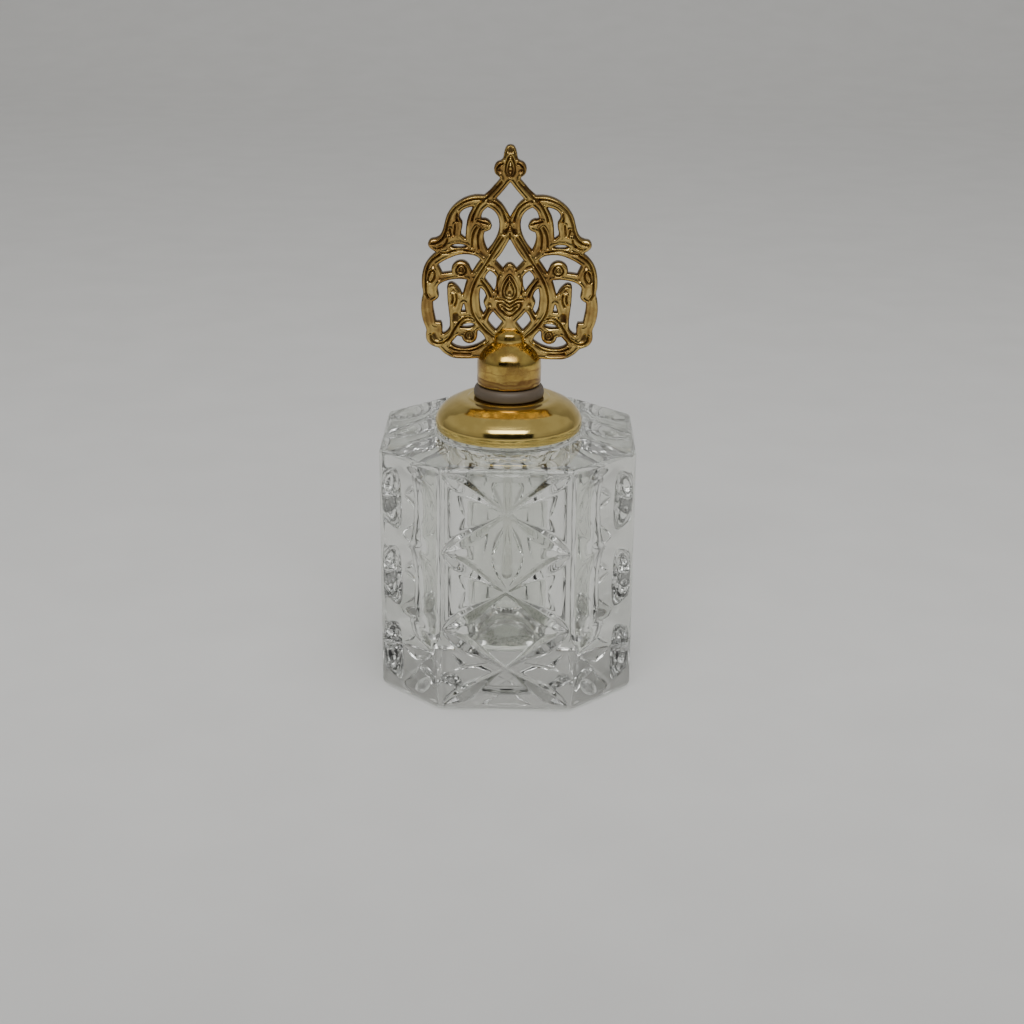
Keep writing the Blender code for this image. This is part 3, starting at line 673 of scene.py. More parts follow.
SIDE_OPENINGS = {
    "upper loop": [
        (3.1, 68.37), (3.7, 67.8), (4.0, 67.0), (3.9, 66.8), (3.3, 66.75), (2.75, 66.35), (2.5, 65.75), (2.7, 65.3),
        (3.1, 65.05), (3.5, 64.92), (3.63, 64.35), (3.5, 63.5), (3.3, 62.9), (3.08, 62.46), (2.55, 63.1),
        (2.0, 64.0), (1.62, 65.0), (1.5, 66.1), (1.75, 67.2), (2.35, 67.95)],
    "behind the bell flower": [
        (5.1, 68.45), (5.9, 68.25), (6.6, 67.85), (6.95, 67.3), (6.9, 66.8), (6.62, 66.35), (6.6, 65.7),
        (6.75, 65.0), (6.75, 64.5), (6.2, 64.05), (6.15, 64.8), (6.05, 66.0), (5.8, 67.1), (5.4, 67.9)],
    "slit": [(6.05, 62.95), (6.6, 63.12), (7.6, 63.14), (8.2, 62.95), (7.6, 62.76), (6.6, 62.76)],
    "beside the bud": [
        (2.75, 59.45), (3.2, 58.95), (3.45, 58.4), (2.95, 57.7), (2.5, 57.1), (2.2, 56.6), (1.98, 57.15),
        (1.9, 57.9), (1.85, 58.6), (2.25, 59.1)],
    "beside the small scroll": [
        (4.05, 57.0), (4.18, 56.1), (4.15, 55.0), (3.98, 54.0), (3.66, 53.35), (3.3, 53.95), (3.52, 54.55),
        (3.66, 55.05), (3.48, 55.5), (3.3, 55.88), (3.62, 56.6)],
    "under the small scroll": [
        (2.3, 53.65), (2.75, 53.0), (3.0, 52.35), (2.6, 51.75), (1.9, 51.0), (1.4, 51.6), (1.0, 52.2), (1.55, 52.75)],
    "over the disc": [
        (4.1, 61.05), (4.6, 61.45), (5.5, 61.7), (6.5, 61.74), (7.4, 61.6), (8.4, 61.2), (9.2, 60.8), (9.98, 60.3),
        (9.7, 59.7), (9.42, 59.1), (8.75, 59.2), (8.1, 59.27), (8.15, 59.7), (7.95, 60.25), (7.4, 60.73),
        (6.8, 60.87), (6.2, 60.73), (5.7, 60.3), (5.45, 59.75), (5.25, 59.3), (4.7, 60.2)],
    "round the leaf": [
        (6.0, 58.18), (7.0, 58.24), (8.0, 58.18), (9.0, 57.93), (9.68, 57.58), (10.06, 57.1), (10.05, 56.6),
        (9.93, 56.0), (9.95, 55.65), (10.25, 55.3), (10.75, 54.97), (10.72, 54.2), (10.58, 53.3), (10.35, 52.15),
        (9.65, 52.12), (9.48, 51.75), (9.45, 50.52), (9.3, 50.42), (8.9, 50.68), (8.52, 51.2), (8.42, 52.2),
        (8.52, 53.4), (8.7, 55.0), (8.76, 56.5), (8.72, 57.4), (8.5, 57.7), (8.0, 57.72), (7.5, 57.4),
        (6.95, 56.8), (6.72, 56.3), (6.6, 56.05), (6.4, 56.85), (6.2, 57.6)],
    "keyhole": [(6.42, 54.78), (6.18, 53.7), (6.75, 53.65)],
    "lens": [(6.88, 51.4), (6.3, 51.78), (5.45, 51.92), (4.9, 51.8), (5.25, 51.5), (6.1, 51.34)],
    "round the lower disc": [
        (3.35, 49.6), (3.7, 50.25), (4.3, 50.9), (4.48, 50.75), (4.5, 50.1), (4.75, 49.45), (5.3, 49.07),
        (5.95, 49.05), (6.5, 49.4), (6.75, 49.95), (7.3, 50.1), (7.75, 49.6), (8.2, 49.04), (7.66, 48.65),
        (6.85, 48.42), (5.9, 48.44), (4.75, 48.75), (3.9, 49.2)]}

# %% [markdown]
# ### The pressed lines and hollows
# The lines follow the ribbons: one runs along the shoulder of each scroll, one splits the long ribbon in two, and
# others draw the leaves and the cup under the bud. Rings and almonds are closed lines. The hollows are small
# areas where the polish doesn't reach, so they have stayed brown.

# %% Lines and hollows of the plate
GROOVES = {
    "shoulder": [(3.5, 69.55), (4.3, 69.55), (5.13, 69.48), (6.0, 69.22), (6.8, 68.84), (7.4, 68.4), (7.9, 67.9),
                 (8.3, 67.25), (8.55, 66.56), (8.75, 65.9), (8.86, 65.3), (9.05, 64.7), (9.3, 64.15), (9.8, 63.6),
                 (10.5, 63.25), (10.95, 63.2)],
    "strut": [(1.2, 71.95), (1.75, 71.25), (2.34, 70.6), (2.9, 70.05), (3.48, 69.5), (4.2, 68.84), (4.55, 68.35),
              (4.85, 67.8), (5.15, 67.1), (5.3, 66.4)],
    "upper loop": [(0.55, 66.4), (0.75, 67.2), (1.09, 68.1), (1.7, 68.75), (2.4, 69.1), (3.05, 69.15)],
    "leaf curl": [(2.9, 66.0), (3.4, 66.17), (3.9, 66.3), (4.5, 66.5)],
    "leaf": [(4.05, 65.5), (4.3, 65.0), (4.45, 64.3), (4.42, 63.4), (4.3, 62.5)],
    "leaf edge": [(4.6, 65.65), (4.95, 65.1), (5.15, 64.5), (5.25, 63.6), (5.22, 62.8)],
    "bell": [(7.6, 65.94), (7.68, 65.2), (7.78, 64.5)],
    "bell side": [(8.35, 65.3), (8.28, 64.8), (8.1, 64.3)],
    "bell stem": [(7.3, 67.5), (7.4, 67.0), (7.3, 66.45)],
    "petal": [(8.7, 63.9), (8.9, 63.3), (9.4, 62.8), (10.0, 62.6)],
    "under the bell": [(5.0, 62.15), (6.0, 62.36), (7.0, 62.4), (8.0, 62.25), (8.6, 62.0), (9.6, 61.95)],
    "long ribbon": [(2.2, 49.95), (3.0, 50.6), (3.7, 51.3), (4.55, 52.35), (5.14, 53.4), (5.4, 54.6), (5.38, 55.9),
                    (5.05, 57.3), (4.36, 58.8), (3.45, 60.2), (2.65, 61.5), (1.96, 62.6), (1.5, 63.3), (0.95, 64.15)],
    "crossing": [(0, 67.0), (0, 66.4), (0, 65.95), (0.3, 65.45), (0.75, 64.75)],
    "under the crossing": [(0, 64.0), (0, 64.3), (0, 64.75)],
    "ribbon edge": [(1.35, 64.4), (1.8, 63.65), (2.34, 62.7), (2.8, 61.95)],
    "bud stalk": [(0.85, 59.45), (1.4, 60.0), (2.0, 60.6)],
    "bud side": [(1.5, 58.75), (1.72, 57.9), (1.74, 57.0), (1.6, 56.1)],
    "cup rim": [(0, 54.72), (0.35, 54.95), (0.75, 55.22), (1.3, 55.42), (1.95, 55.48)],
    "cup": [(0, 54.2), (0.35, 54.38), (0.75, 54.72), (1.2, 54.95), (1.65, 54.9)],
    "cup fold": [(0, 53.72), (0.35, 53.88), (0.7, 54.18), (1.1, 54.42)],
    "cup foot": [(0, 53.02), (0.5, 53.25), (1.0, 53.72), (1.45, 54.2), (1.7, 54.75)],
    "scroll": [(3.95, 58.1), (3.4, 57.4), (2.95, 56.6), (2.6, 55.75)],
    "scroll foot": [(2.9, 54.2), (3.2, 53.4), (3.7, 52.6)],
    "arch": [(9.7, 61.75), (10.2, 61.45), (10.7, 61.1), (11.15, 60.6), (11.47, 60.0), (11.66, 59.2), (11.72, 58.4),
             (11.74, 57.5), (11.74, 56.7), (11.7, 56.2), (11.5, 55.8), (11.3, 55.5)],
    "leaf vein": [(7.5, 56.1), (7.42, 55.6), (7.5, 55.0), (7.78, 54.4)],
    "leaf vein side": [(8.0, 56.0), (7.95, 55.4), (8.15, 54.8)],
    "leaf tip": [(6.98, 56.35), (7.4, 56.95), (7.9, 57.28), (8.3, 57.3)],
    "lower scroll": [(5.15, 52.6), (5.7, 52.78), (6.3, 52.7), (6.9, 52.3), (7.5, 51.5), (7.9, 50.75), (8.3, 50.05),
                     (8.97, 49.37), (9.85, 49.02), (10.6, 49.18), (11.0, 49.65), (11.08, 50.1)],
    "lower scroll side": [(5.3, 52.25), (6.1, 52.2), (6.75, 51.8)],
    "foot": [(3.7, 48.85), (4.6, 48.3), (5.6, 48.0), (6.6, 47.93), (7.6, 48.08), (8.4, 48.45)],
    "trefoil lobe": [(1.0, 74.45), (1.5, 74.2), (1.85, 73.75), (1.88, 73.25), (1.55, 72.85)],
    "trefoil tip": [(0.42, 76.35), (0.62, 75.75), (0.85, 75.05)]}
HOLLOWS = [
    ([(0, 76.45), (0, 76.1)], 0.3), ([(1.42, 73.5)], 0.24), ([(0.05, 73.35)], 0.2),
    ([(0.68, 65.15), (0.72, 64.85)], 0.3), ([(4.0, 65.85)], 0.16), ([(7.35, 66.5)], 0.14),
    ([(3.0, 60.15), (2.35, 59.85)], 0.2), ([(3.9, 60.5), (4.7, 59.4)], 0.14), ([(0, 56.35)], 0.3),
    ([(2.75, 54.75)], 0.26), ([(7.87, 56.6)], 0.2), ([(7.56, 53.0), (7.56, 52.5)], 0.42),
    ([(10.35, 49.75), (10.6, 50.25)], 0.3), ([(5.6, 47.45), (7.8, 47.5)], 0.2), ([(1.3, 59.0)], 0.2),
    ([(10.7, 60.15)], 0.14), ([(9.7, 58.25)], 0.16), ([(4.0, 62.05), (3.6, 61.65)], 0.2),
    ([(2.0, 71.3), (3.0, 70.3)], 0.16), ([(3.05, 69.35), (2.7, 69.35)], 0.12), ([(3.9, 69.3)], 0.14),
    ([(6.78, 59.55)], 0.12), ([(5.62, 50.19)], 0.1),
    ([(7.0, 50.35)], 0.14), ([(8.6, 64.6)], 0.12), ([(9.2, 63.0)], 0.14), ([(2.35, 53.95)], 0.12)]


def ellipse(x, z, long, short, tilt=0.0, point=0.0):
    """A closed ring: (short sin t (sin(t/2))^point, long cos t), turned by tilt degrees and moved to (x, z). With a
    point above nought its upper end is pointed, as an almond's is."""
    t = np.linspace(0, 2 * np.pi, 40, endpoint=False)
    across = short * np.sin(t) * np.sin(t / 2) ** point
    up = long * np.cos(t)
    turn = math.radians(tilt)
    return np.stack([x + across * math.cos(turn) - up * math.sin(turn),
                     z + across * math.sin(turn) + up * math.cos(turn)], axis=-1)


RINGS = [
    ellipse(0, 74.1, 1.45, 0.78, point=0.8), ellipse(0, 73.75, 0.95, 0.42, point=0.8),
    ellipse(0, 57.05, 1.65, 1.18, point=0.8), ellipse(0, 56.85, 1.05, 0.72, point=0.8),
    ellipse(10.95, 58.62, 0.85, 0.42, tilt=18), ellipse(6.78, 59.55, 0.66, 0.66), ellipse(6.78, 59.55, 0.3, 0.3),
    ellipse(5.62, 50.19, 0.52, 0.52), ellipse(5.62, 50.19, 0.24, 0.24)]
print(len(GROOVES), "grooves,", len(RINGS), "rings,", len(HOLLOWS), "hollows")


# %% [markdown]
# ### Distances
# Two things are asked of every place on a fine grid: is it inside the metal, and how far is it from each line?
# Inside is found by counting how many edges a ray to the right crosses. The distance to a straight stretch uses
# the place's shadow on it.

# %% Smooth lines and distances
SHARP_TURN = math.radians(40)


def smooth_line(points, closed=False, steps=5):
    """A line through points. Between two of them it is the cubic that leaves and arrives along the mean of the
    neighbouring directions. Where the line turns by more than SHARP_TURN the point stays a corner."""
    p = np.array(points, float)
    onward = np.roll(p, -1, axis=0) - p
    length = np.linalg.norm(onward, axis=1, keepdims=True)
    onward = onward / length
    inward = np.roll(onward, 1, axis=0)
    if not closed:
        onward[-1], inward[0] = inward[-1], onward[0]
    middle = onward + inward
    middle = middle / np.maximum(np.linalg.norm(middle, axis=1, keepdims=True), 1e-9)
    corner = ((onward * inward).sum(axis=1) < math.cos(SHARP_TURN))[:, None]
    leaving = np.where(corner, onward, middle)
    arriving = np.roll(np.where(corner, inward, middle), -1, axis=0)
    s = (np.arange(steps) / steps)[None, :, None]
    a, b = p[:, None], np.roll(p, -1, axis=0)[:, None]
    line = ((2 * s ** 3 - 3 * s ** 2 + 1) * a + (3 * s ** 2 - 2 * s ** 3) * b
            + (s ** 3 - 2 * s ** 2 + s) * (leaving * length)[:, None]
            + (s ** 3 - s ** 2) * (arriving * length)[:, None])
    if closed:
        return np.concatenate([line.reshape(-1, 2), p[:1]])
    return np.concatenate([line[:-1].reshape(-1, 2), p[-1:]])


def nearest_on(places, line):
    """The point of a line nearest to each place, and its distance. On a stretch from a to b the point is
    a + t (b - a), with t = (place - a).(b - a) / |b - a|^2 kept between 0 and 1."""
    found, distance = [], []
    a, step = line[:-1], np.diff(line, axis=0)
    squared = np.maximum((step * step).sum(axis=1), 1e-12)
    for some in np.array_split(places, max(1, len(places) * len(line) // 1_500_000)):
        t = np.clip(((some[:, None] - a) * step).sum(axis=-1) / squared, 0, 1)
        foot = a + t[..., None] * step
        gap = np.linalg.norm(some[:, None] - foot, axis=-1)
        best = gap.argmin(axis=1)
        found.append(foot[np.arange(len(some)), best])
        distance.append(gap[np.arange(len(some)), best])
    return np.concatenate(found), np.concatenate(distance)


def crossings(places, line):
    """How many stretches of a line a ray from each place towards +x crosses."""
    count = np.zeros(len(places), int)
    for (ax, az), (bx, bz) in zip(line[:-1], line[1:]):
        if az != bz:
            spans = (az > places[:, 1]) != (bz > places[:, 1])
            count += spans & (places[:, 0] < ax + (places[:, 1] - az) * (bx - ax) / (bz - az))
    return count


contours = [smooth_line(PLATE_EDGE)] + [smooth_line(line) for line in MIDDLE_OPENINGS]
contours += [smooth_line(line, closed=True) for line in SIDE_OPENINGS.values()]
print("contour points:", sum(len(line) for line in contours))

# %% [markdown]
# ### The plate as a mesh
# The grid's small squares are kept where their middles are in the metal. Corners on the border then move onto the
# true edge, so no steps are left. The front is one sheet, the back its copy, and a wall joins their borders.

# %% Grid over the plate
SQUARE = 0.1
EDGE_ROUND = 0.28
GRID_SHIFT = 0.02
PULL_TO_EDGE = 0.92
# Painted shade: the wall round the outline and each opening is browned as if it mirrored the dark room.
WALL_PAINTED_SHADE = 0.75
plate_low, plate_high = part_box("filigree_plate")
HALF_PLATE = plate_high.y / MM
across_count = int(math.ceil(plate_high.x / MM / SQUARE)) + 1
up_count = int(math.ceil((plate_high.z - plate_low.z) / MM / SQUARE)) + 2
grid_x = SQUARE * np.arange(across_count + 1)
grid_z = plate_low.z / MM - SQUARE + SQUARE * np.arange(up_count + 1) + GRID_SHIFT


def is_metal(places):
    """True where a ray crosses the contours an odd number of times."""
    return sum(crossings(places, line) for line in contours) % 2 == 1


def over_grid(x, z):
    """Every pair of an x and a z, as one long list of places."""
    return np.stack(np.meshgrid(x, z, indexing="ij"), axis=-1).reshape(-1, 2)


def kept_squares():
    """Squares whose middle is in the metal. Where two of them would meet at a corner only, the one between is
    kept too, so that no edge is shared by more than two faces."""
    middle = over_grid(grid_x[:-1] + SQUARE / 2, grid_z[:-1] + SQUARE / 2)
    half = is_metal(middle).reshape(across_count, up_count)
    keep = np.concatenate([half[::-1], half])
    for _ in range(4):
        a, b, c, d = keep[:-1, :-1], keep[1:, :-1], keep[:-1, 1:], keep[1:, 1:]
        keep[1:, :-1] |= a & d & ~b & ~c
        keep[:-1, :-1] |= b & c & ~a & ~d
        keep |= keep[::-1]
    return keep


keep = kept_squares()
corners = over_grid(grid_x, grid_z)
edge_point, edge_gap = np.full_like(corners, np.inf), np.full(len(corners), np.inf)
for line in contours:
    foot, gap = nearest_on(corners, line)
    closer = gap < edge_gap
    edge_point[closer], edge_gap[closer] = foot[closer], gap[closer]
print("squares kept:", int(keep.sum()))


# %% [markdown]
# ### The relief
# On the real casting every line is a rounded groove with a soft lip, and every edge is rolled over. A bump map
# would draw them too, but it would vanish at the outline and in the exported mesh, so the points really move.
# How hollow a place is gets kept as well, and a painted shade along the edges is added to it: together they say where
# the gold is brown.

# %% Heights of the plate's face
GROOVE_DEPTH = 0.3
GROOVE_WIDTH = 0.1
LIP_HEIGHT = 0.09
HOLLOW_DEPTH = 0.2
RIM_HEIGHT = 0.05


def bell_curve(x, middle, width):
    """exp(-((x - middle) / width)^2)"""
    return np.exp(-((x - middle) / width) ** 2)


def face_relief(places, gap):
    """Height over the flat face, and how brown each place is (0 to 1). A groove is a bell curve of the distance f to
    the nearest line, with a lip beside it. A hollow falls off as 1 / (1 + exp(e/0.06)), with e the distance to its
    rim. The edge is rounded by r - sqrt(r^2 - (r - d)^2), with d the distance to the contour, and a low rim and a
    faint trough follow the contour further in. The brown is that of the grooves, hollows and trough, where the
    polish hasn't reached, and a painted shade along the contour for the dark room mirrored in the rounded edge."""
    lines = [smooth_line(points) for points in GROOVES.values()] + [np.concatenate([r, r[:1]]) for r in RINGS]
    f = np.min([nearest_on(places, line)[1] for line in lines], axis=0)
    groove = bell_curve(f, 0, GROOVE_WIDTH)
    lip = bell_curve(f, 2.4 * GROOVE_WIDTH, GROOVE_WIDTH)
    hollow = np.zeros(len(places))
    for points, radius in HOLLOWS:
        line = np.array(points * 2 if len(points) == 1 else points, float)
        to_rim = np.clip((nearest_on(places, line)[1] - radius) / 0.06, -30, 30)
        hollow = np.maximum(hollow, 1 / (1 + np.exp(to_rim)))
    inside_round = np.clip(EDGE_ROUND - gap, 0, EDGE_ROUND)
    rounding = EDGE_ROUND - np.sqrt(EDGE_ROUND ** 2 - inside_round ** 2)
    trough = bell_curve(gap, 0.6, 0.14)
    rim = RIM_HEIGHT * (bell_curve(gap, 0.34, 0.12) - trough)
    relief = rim + LIP_HEIGHT * lip * (1 - hollow) - GROOVE_DEPTH * groove - HOLLOW_DEPTH * hollow - rounding
    # Painted shade: a brown line along the contour stands for the dark room mirrored in the rounded edge.
    painted_edge_shade = 0.85 * bell_curve(gap, 0, 0.13)
    return relief, np.clip(1.1 * groove + hollow + 0.35 * trough + painted_edge_shade, 0, 1)


relief, hollow_brown_and_edge_shade = face_relief(corners, edge_gap)
print(f"relief from {relief[edge_gap < 5].min():.2f} to {relief.max():.2f} mm")


# %% [markdown]
# ### Front, back and wall
# The casting has two pressed faces and a thin wall between them, round the outside and round each opening. The
# front sheet is copied and turned over for the back, and each edge of its outline gets a strip of wall. One closed
# piece like this has no holes for light to slip through.

# %% Sheet, back and wall
def mirrored(field):
    """A field on the right half's corners, repeated on the left."""
    field = field.reshape(across_count + 1, up_count + 1, *field.shape[1:])
    return np.concatenate([field[:0:-1], field])


def plate_mesh():
    """Front and back sheets of the kept squares, with a wall of two rows along their border."""
    wide, tall = keep.shape
    number = np.arange((wide + 1) * (tall + 1)).reshape(wide + 1, tall + 1)
    framed = np.pad(keep, 1)
    used = framed[1:, 1:] | framed[:-1, 1:] | framed[1:, :-1] | framed[:-1, :-1]
    border = used & ~(framed[1:, 1:] & framed[:-1, 1:] & framed[1:, :-1] & framed[:-1, :-1])
    sign = np.sign(np.arange(wide + 1) - across_count)
    place = mirrored(corners) * np.stack([sign, np.ones_like(sign)], axis=-1)[:, None]
    foot = mirrored(edge_point) * np.stack([sign, np.ones_like(sign)], axis=-1)[:, None]
    place = np.where(border[..., None], place + PULL_TO_EDGE * (foot - place), place)
    height = np.where(border, -EDGE_ROUND, mirrored(relief))
    i, k = np.nonzero(keep)
    front = np.stack([number[i, k], number[i + 1, k], number[i + 1, k + 1], number[i, k + 1]], axis=-1)
    runs = []
    for side, (di, dk) in enumerate(((0, -1), (1, 0), (0, 1), (-1, 0))):
        open_side = ~framed[i + 1 + di, k + 1 + dk]
        runs.append(np.stack([front[open_side, side], front[open_side, (side + 1) % 4]], axis=-1))
    a, b = np.concatenate(runs).T
    count = number.size
    wall = [np.stack([b, a, a + 2 * count, b + 2 * count], axis=-1),
            np.stack([b + 2 * count, a + 2 * count, a + count, b + count], axis=-1)]
    quads = np.concatenate([front, front[:, ::-1] + count] + wall)
    x, z, y = place[..., 0].ravel(), place[..., 1].ravel(), HALF_PLATE + height.ravel()
    points = np.concatenate([np.stack([x, -y, z], axis=-1), np.stack([x, y, z], axis=-1),
                             np.stack([x, 0 * y, z], axis=-1)])
    # The faces get their brown from the hollows and the painted edge shade, the wall gets painted shade only.
    patina_and_edge_shade = np.concatenate([mirrored(hollow_brown_and_edge_shade).ravel()] * 2 + [np.full(count, WALL_PAINTED_SHADE)])
    names, quads = np.unique(quads, return_inverse=True)
    return points[names], quads.reshape(-1, 4), patina_and_edge_shade[names]


points, quads, patina_and_edge_shade = plate_mesh()
plate = add_mesh("pierced_filigree", points, quads, np.zeros((0, 3), int))
# This attribute carries the brown of the hollows together with the painted edge shade.
plate.data.attributes.new("patina_and_edge_shade", "FLOAT", "POINT").data.foreach_set("value", patina_and_edge_shade.astype(np.float32))
settle(plate, "stopper", "filigree_gold", "filigree_plate")

# %% [markdown]
# ## Gold
# All the metal is a mirror-like gold. On the collar it is clean. On the hub it is a little clouded, and brown bands
# low down are painted reflection of the collar and washer below. On the filigree it has darkened to brown in the
# hollows, and a painted shade along the edges stands for the dark room mirrored in their rounding. Three separate
# materials could be built, but they'd drift apart. One function makes them all, with more or less of each fault.

# %% Gold materials
BROWN_ROUGHNESS = 0.42


def gold(name, bright, dull, roughness, unevenness, brown=(0.045, 0.016, 0.006), hollows=None):
    """A mirror-like metal that varies from bright to dull. hollows(tree, where) gives a socket from 0 to 1 that says
    where the colour turns brown and the surface rougher: on the plate where the polish hasn't reached and as a
    painted shade along the edges, on the hub as painted reflection in bands and as random patches."""
    material, tree, where = new_material(name)
    cloud = noise(tree, where, 350.0, 3.0, 0.55)
    tint = ramp(tree, cloud.outputs["Fac"], [(0.42, dull), (0.58, bright)]).outputs["Color"]
    haze = ramp(tree, cloud.outputs["Fac"], [(0.3, grey(roughness * 1.6)), (0.7, grey(roughness))]).outputs["Color"]
    # The brown mixed in below is partly the metal's own and partly painted shade and painted reflection.
    if hollows:
        depth = hollows(tree, where)
        tint, haze = [
            add_node(tree, "ShaderNodeMixRGB", {
                "Fac": depth, "Color1": polished, "Color2": (*unpolished, 1.0)}).outputs["Color"]
            for polished, unpolished in ((tint, brown), (haze, grey(BROWN_ROUGHNESS)))]
    dents = noise(tree, where, 700.0, 2.0)
    shader = add_node(tree, "ShaderNodeBsdfPrincipled", {
        "Base Color": tint, "Roughness": haze, "Normal": bumps(tree, dents, unevenness, 0.1), "Metallic": 1.0})
    show(tree, shader.outputs["BSDF"])
    return material


def plate_brown_and_edge_shade(tree, where):
    """The plate's own brown values, from its hollows and from the painted edge shade, broken up by a fine noise."""
    patina_and_edge_shade = add_node(tree, "ShaderNodeAttribute", attribute_name="patina_and_edge_shade")
    speckle = noise(tree, where, 1500.0, 3.0)
    worn = ramp(tree, speckle.outputs["Fac"], [(0.3, grey(0.75)), (0.7, grey(1.0))])
    return product(tree, patina_and_edge_shade.outputs["Fac"], worn.outputs["Color"])


# Painted reflection: the bands stand for the collar and washer mirrored low on the drum.
BANDS_FOOT = 43.1
BANDS_HEIGHT = 3.6


def hub_painted_bands_and_patches(tree, where):
    """Brown bands low on the drum, which are painted reflection of the collar and washer below it, and faint patches
    all over it. The bands are a ramp over the height above their foot, as a part of their whole height, which a
    stretched noise pushes up and down."""
    flat = add_node(tree, "ShaderNodeMapping", {"Vector": where.outputs["Object"], "Scale": (1.0, 1.0, 3.0)})
    drift = add_node(tree, "ShaderNodeTexNoise", {"Vector": flat.outputs["Vector"], "Scale": 160.0, "Detail": 4.0})
    split = add_node(tree, "ShaderNodeSeparateXYZ", {"Vector": where.outputs["Object"]})
    height = add_node(tree, "ShaderNodeMath", {
        0: split.outputs["Z"], 1: 1.0 / (BANDS_HEIGHT * MM), 2: drift.outputs["Fac"]}, operation="MULTIPLY_ADD")
    level = add_node(tree, "ShaderNodeMath", {
        0: height.outputs[0], 1: BANDS_FOOT / BANDS_HEIGHT + 0.5}, operation="SUBTRACT")
    # Painted reflection: these dark bands stand for the collar and washer mirrored on the drum.
    bands = [(0.0, 0.1), (0.06, 0.2), (0.13, 0.95), (0.24, 0.55), (0.33, 0.9), (0.42, 0.15), (0.62, 0.05),
             (0.68, 0.6), (0.73, 0.05), (1.0, 0.0)]
    low = ramp(tree, level.outputs[0], [(place, grey(dark)) for place, dark in bands])
    patches = noise(tree, where, 420.0, 4.0, 0.6)
    spread = ramp(tree, patches.outputs["Fac"], [(0.42, grey(0.0)), (0.62, grey(0.55))])
    return add_node(tree, "ShaderNodeMixRGB", {
        "Fac": 1.0, "Color1": low.outputs["Color"], "Color2": spread.outputs["Color"]},
        blend_type="LIGHTEN").outputs["Color"]


collar.data.materials.append(gold("collar_gold", (0.88, 0.66, 0.21), (0.78, 0.57, 0.17), 0.11, 0.05))
# On the hub the brown is painted reflection in bands low on the drum, and random patches elsewhere.
hub.data.materials.append(gold("hub_gold", (0.74, 0.53, 0.14), (0.56, 0.37, 0.09), 0.09, 0.22,
                               brown=(0.20, 0.095, 0.04), hollows=hub_painted_bands_and_patches))
# On the filigree the brown is that of the hollows and, along the edges, painted shade.
plate.data.materials.append(gold("filigree_gold", (0.68, 0.475, 0.155), (0.40, 0.24, 0.075), 0.11, 0.12,
                                 hollows=plate_brown_and_edge_shade))

# %% [markdown]
# ## Stage and light
# A pale sweep stands in for the table and the wall. A plane for each would do, but the line where they meet would
# show, so one sheet bends up from the floor.

# %% Stage
AIR_GAP = 0.05 * MM
SWEEP_FRONT, SWEEP_BEND, SWEEP_TOP = -2.0, 0.6, 1.4
SWEEP_RADIUS = 0.5
SWEEP_HALF_WIDTH = 1.5
SWEEP_COLUMNS = 13


def sweep():
    """A floor that turns up into a wall: level as far as the bend, then the height follows a quarter circle. It lies
    a hair below the glass, because polished glass on paper touches it at a few points only, with air between."""
    flat = np.linspace(SWEEP_FRONT, SWEEP_BEND, 27)
    turn = np.radians(np.linspace(0, 90, 17))[1:]
    y = np.concatenate([flat, SWEEP_BEND + SWEEP_RADIUS * np.sin(turn), [SWEEP_BEND + SWEEP_RADIUS]])
    z = np.concatenate([np.zeros(len(flat)), SWEEP_RADIUS * (1 - np.cos(turn)), [SWEEP_TOP]]) - AIR_GAP
    x = np.linspace(-SWEEP_HALF_WIDTH, SWEEP_HALF_WIDTH, SWEEP_COLUMNS)
    shape = (len(y), SWEEP_COLUMNS)
    grid = np.stack([np.broadcast_to(x[None, :], shape), np.broadcast_to(y[:, None], shape),
                     np.broadcast_to(z[:, None], shape)], axis=-1) / MM
    i, j = np.meshgrid(np.arange(len(y) - 1), np.arange(SWEEP_COLUMNS - 1), indexing="ij")
    corner = i * SWEEP_COLUMNS + j
    beyond = corner + SWEEP_COLUMNS
    quads = np.stack([corner, corner + 1, beyond + 1, beyond], axis=-1).reshape(-1, 4)
    return add_mesh("sweep", grid.reshape(-1, 3), quads, np.zeros((0, 3), int))


def card_stock(name, kind, cloud, darker, paler, roughness):
    """Matt card of a kind of shader, whose colour drifts between two tones. cloud is the noise's scale and detail."""
    material, tree, where = new_material(name)
    tone = ramp(tree, noise(tree, where, *cloud).outputs["Fac"], [(0.3, darker), (0.7, paler)])
    show(tree, add_node(tree, kind, {0: tone.outputs["Color"], "Roughness": roughness}).outputs["BSDF"])
    return material


floor = sweep()
floor.data.materials.append(card_stock(
    "pale_card", "ShaderNodeBsdfPrincipled", (60.0, 4.0), (0.66, 0.655, 0.64), (0.69, 0.685, 0.67), 0.75))


# %% [markdown]
# ### Light
# The light is that of a pale room: a soft panel overhead that lights the table, and a long one above the camera
# that draws the bright streak on each piece of metal. A third faces the wall. Polished glass mirrors whatever is
# behind it at its foot, so a dark wall would leave a grey band there.

# %% Lights
def panel(name, place, aim, size, power, colour=(1.0, 1.0, 1.0)):
    """A rectangular area light at a place, facing a point."""
    data = bpy.data.lights.new(name, "AREA")
    data.shape = "RECTANGLE"
    data.size, data.size_y = size
    data.energy = power
    data.color = colour
    lamp = bpy.data.objects.new(name, data)
    away = np.array(place) - np.array(aim)
    away /= np.linalg.norm(away)
    across = np.cross((0, 1, 0) if abs(away[2]) > 0.9 else (0, 0, 1), away)
    across /= np.linalg.norm(across)
    axes = np.eye(4)
    axes[:3, 0], axes[:3, 1], axes[:3, 2], axes[:3, 3] = across, np.cross(away, across), away, place
    lamp.matrix_world = axes.T
    bpy.context.scene.collection.objects.link(lamp)
    return lamp


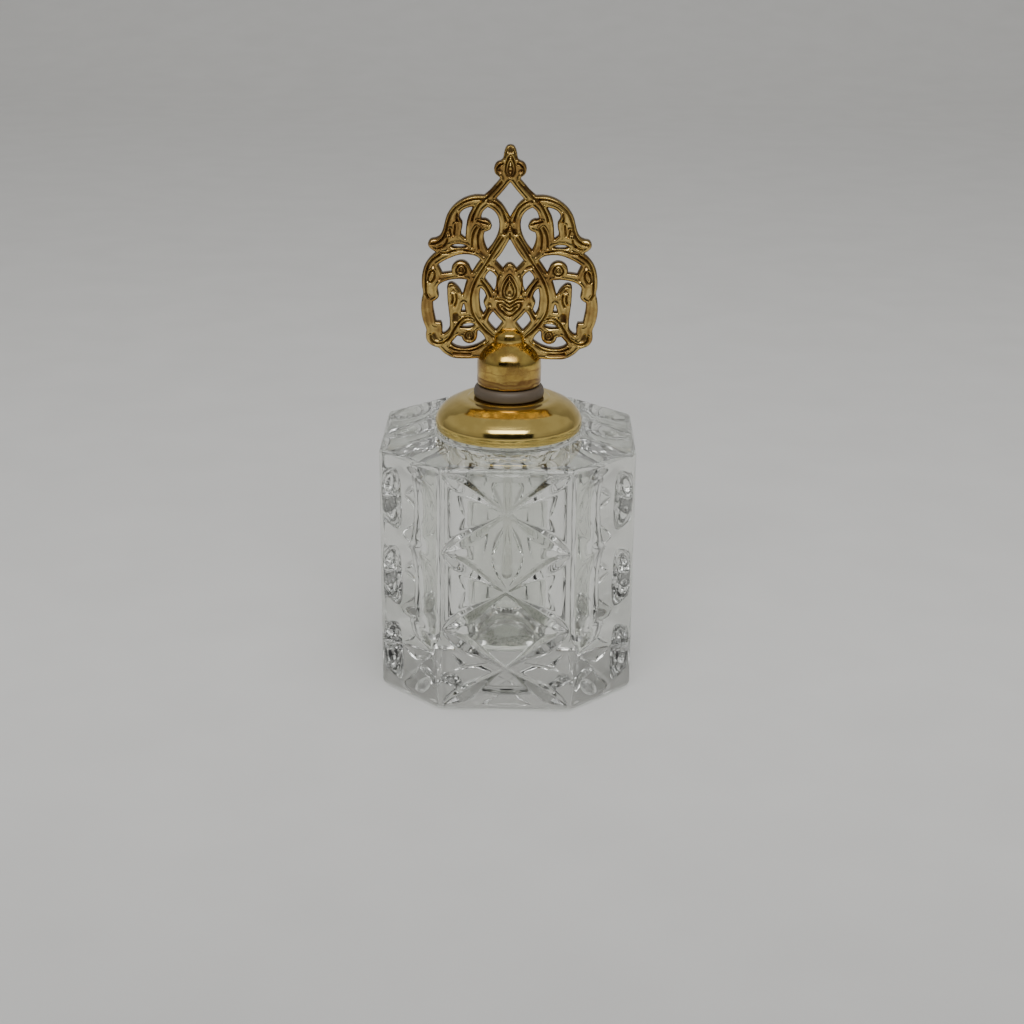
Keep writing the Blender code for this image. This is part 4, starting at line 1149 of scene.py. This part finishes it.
overhead = panel("overhead", (0.03, -0.10, 0.55), (0, -0.05, 0), (0.45, 0.35), 1.6)
overhead.visible_glossy = False
panel("front_top", (0.0, -0.46, 0.52), (0, 0, 0.04), (0.62, 0.20), 2.2)
panel("wall_wash", (0.0, 0.45, 0.75), (0, 1.1, 0.4), (0.8, 0.2), 1.2)

# %% [markdown]
# ### What the metal mirrors
# Under the streak on the metal is a narrow black bar, which is where the camera itself shows. A card of that
# shape just behind the lens, hidden from the camera, gives the same bar.

# %% Dark card
CARD_WIDTH = 0.42
CARD_HEIGHT = 0.12
CARD_RISE = 0.025
CARD_BEHIND_LENS = 0.004


def card_corners():
    """Corners of a rectangle across the line of sight, just behind the lens: lens + back * b + right * x + up * y."""
    up = np.cross(back, right)
    middle = VIEW_TARGET + back * (VIEW_DISTANCE + CARD_BEHIND_LENS) + up * CARD_RISE
    x, y = CARD_WIDTH / 2, CARD_HEIGHT / 2
    return np.array([middle + right * a + up * b for a, b in ((-x, -y), (x, -y), (x, y), (-x, y))]) / MM


card = add_mesh("dark_card", card_corners(), np.array([[0, 1, 2, 3]]), np.zeros((0, 3), int))
card.visible_camera = False
card.data.materials.append(card_stock(
    "card_black", "ShaderNodeBsdfDiffuse", (300.0, 2.0), grey(0.008), (0.014, 0.013, 0.012), 0.0))

# %% [markdown]
# ### The room
# Whatever isn't table, wall or lamp is the rest of the room. An even grey would flatten the glass, so it is dim
# near the horizon and paler overhead.

# %% Room
HORIZON_STRENGTH = 0.14
CEILING_STRENGTH = 0.36
CEILING_STARTS = 0.4


def room():
    """A world that is dim near the horizon and paler overhead, as a room with a white ceiling is."""
    world = bpy.data.worlds.new("room")
    bpy.context.scene.world = world
    world.use_nodes = True
    tree = world.node_tree
    where = add_node(tree, "ShaderNodeTexCoord")
    direction = add_node(tree, "ShaderNodeSeparateXYZ", {"Vector": where.outputs["Generated"]})
    strength = add_node(tree, "ShaderNodeMapRange", {
        "Value": direction.outputs["Z"], "From Max": CEILING_STARTS, "To Min": HORIZON_STRENGTH,
        "To Max": CEILING_STRENGTH})
    background = tree.nodes["Background"]
    background.inputs["Color"].default_value = (1.0, 0.995, 0.975, 1.0)
    tree.links.new(strength.outputs["Result"], background.inputs["Strength"])


room()
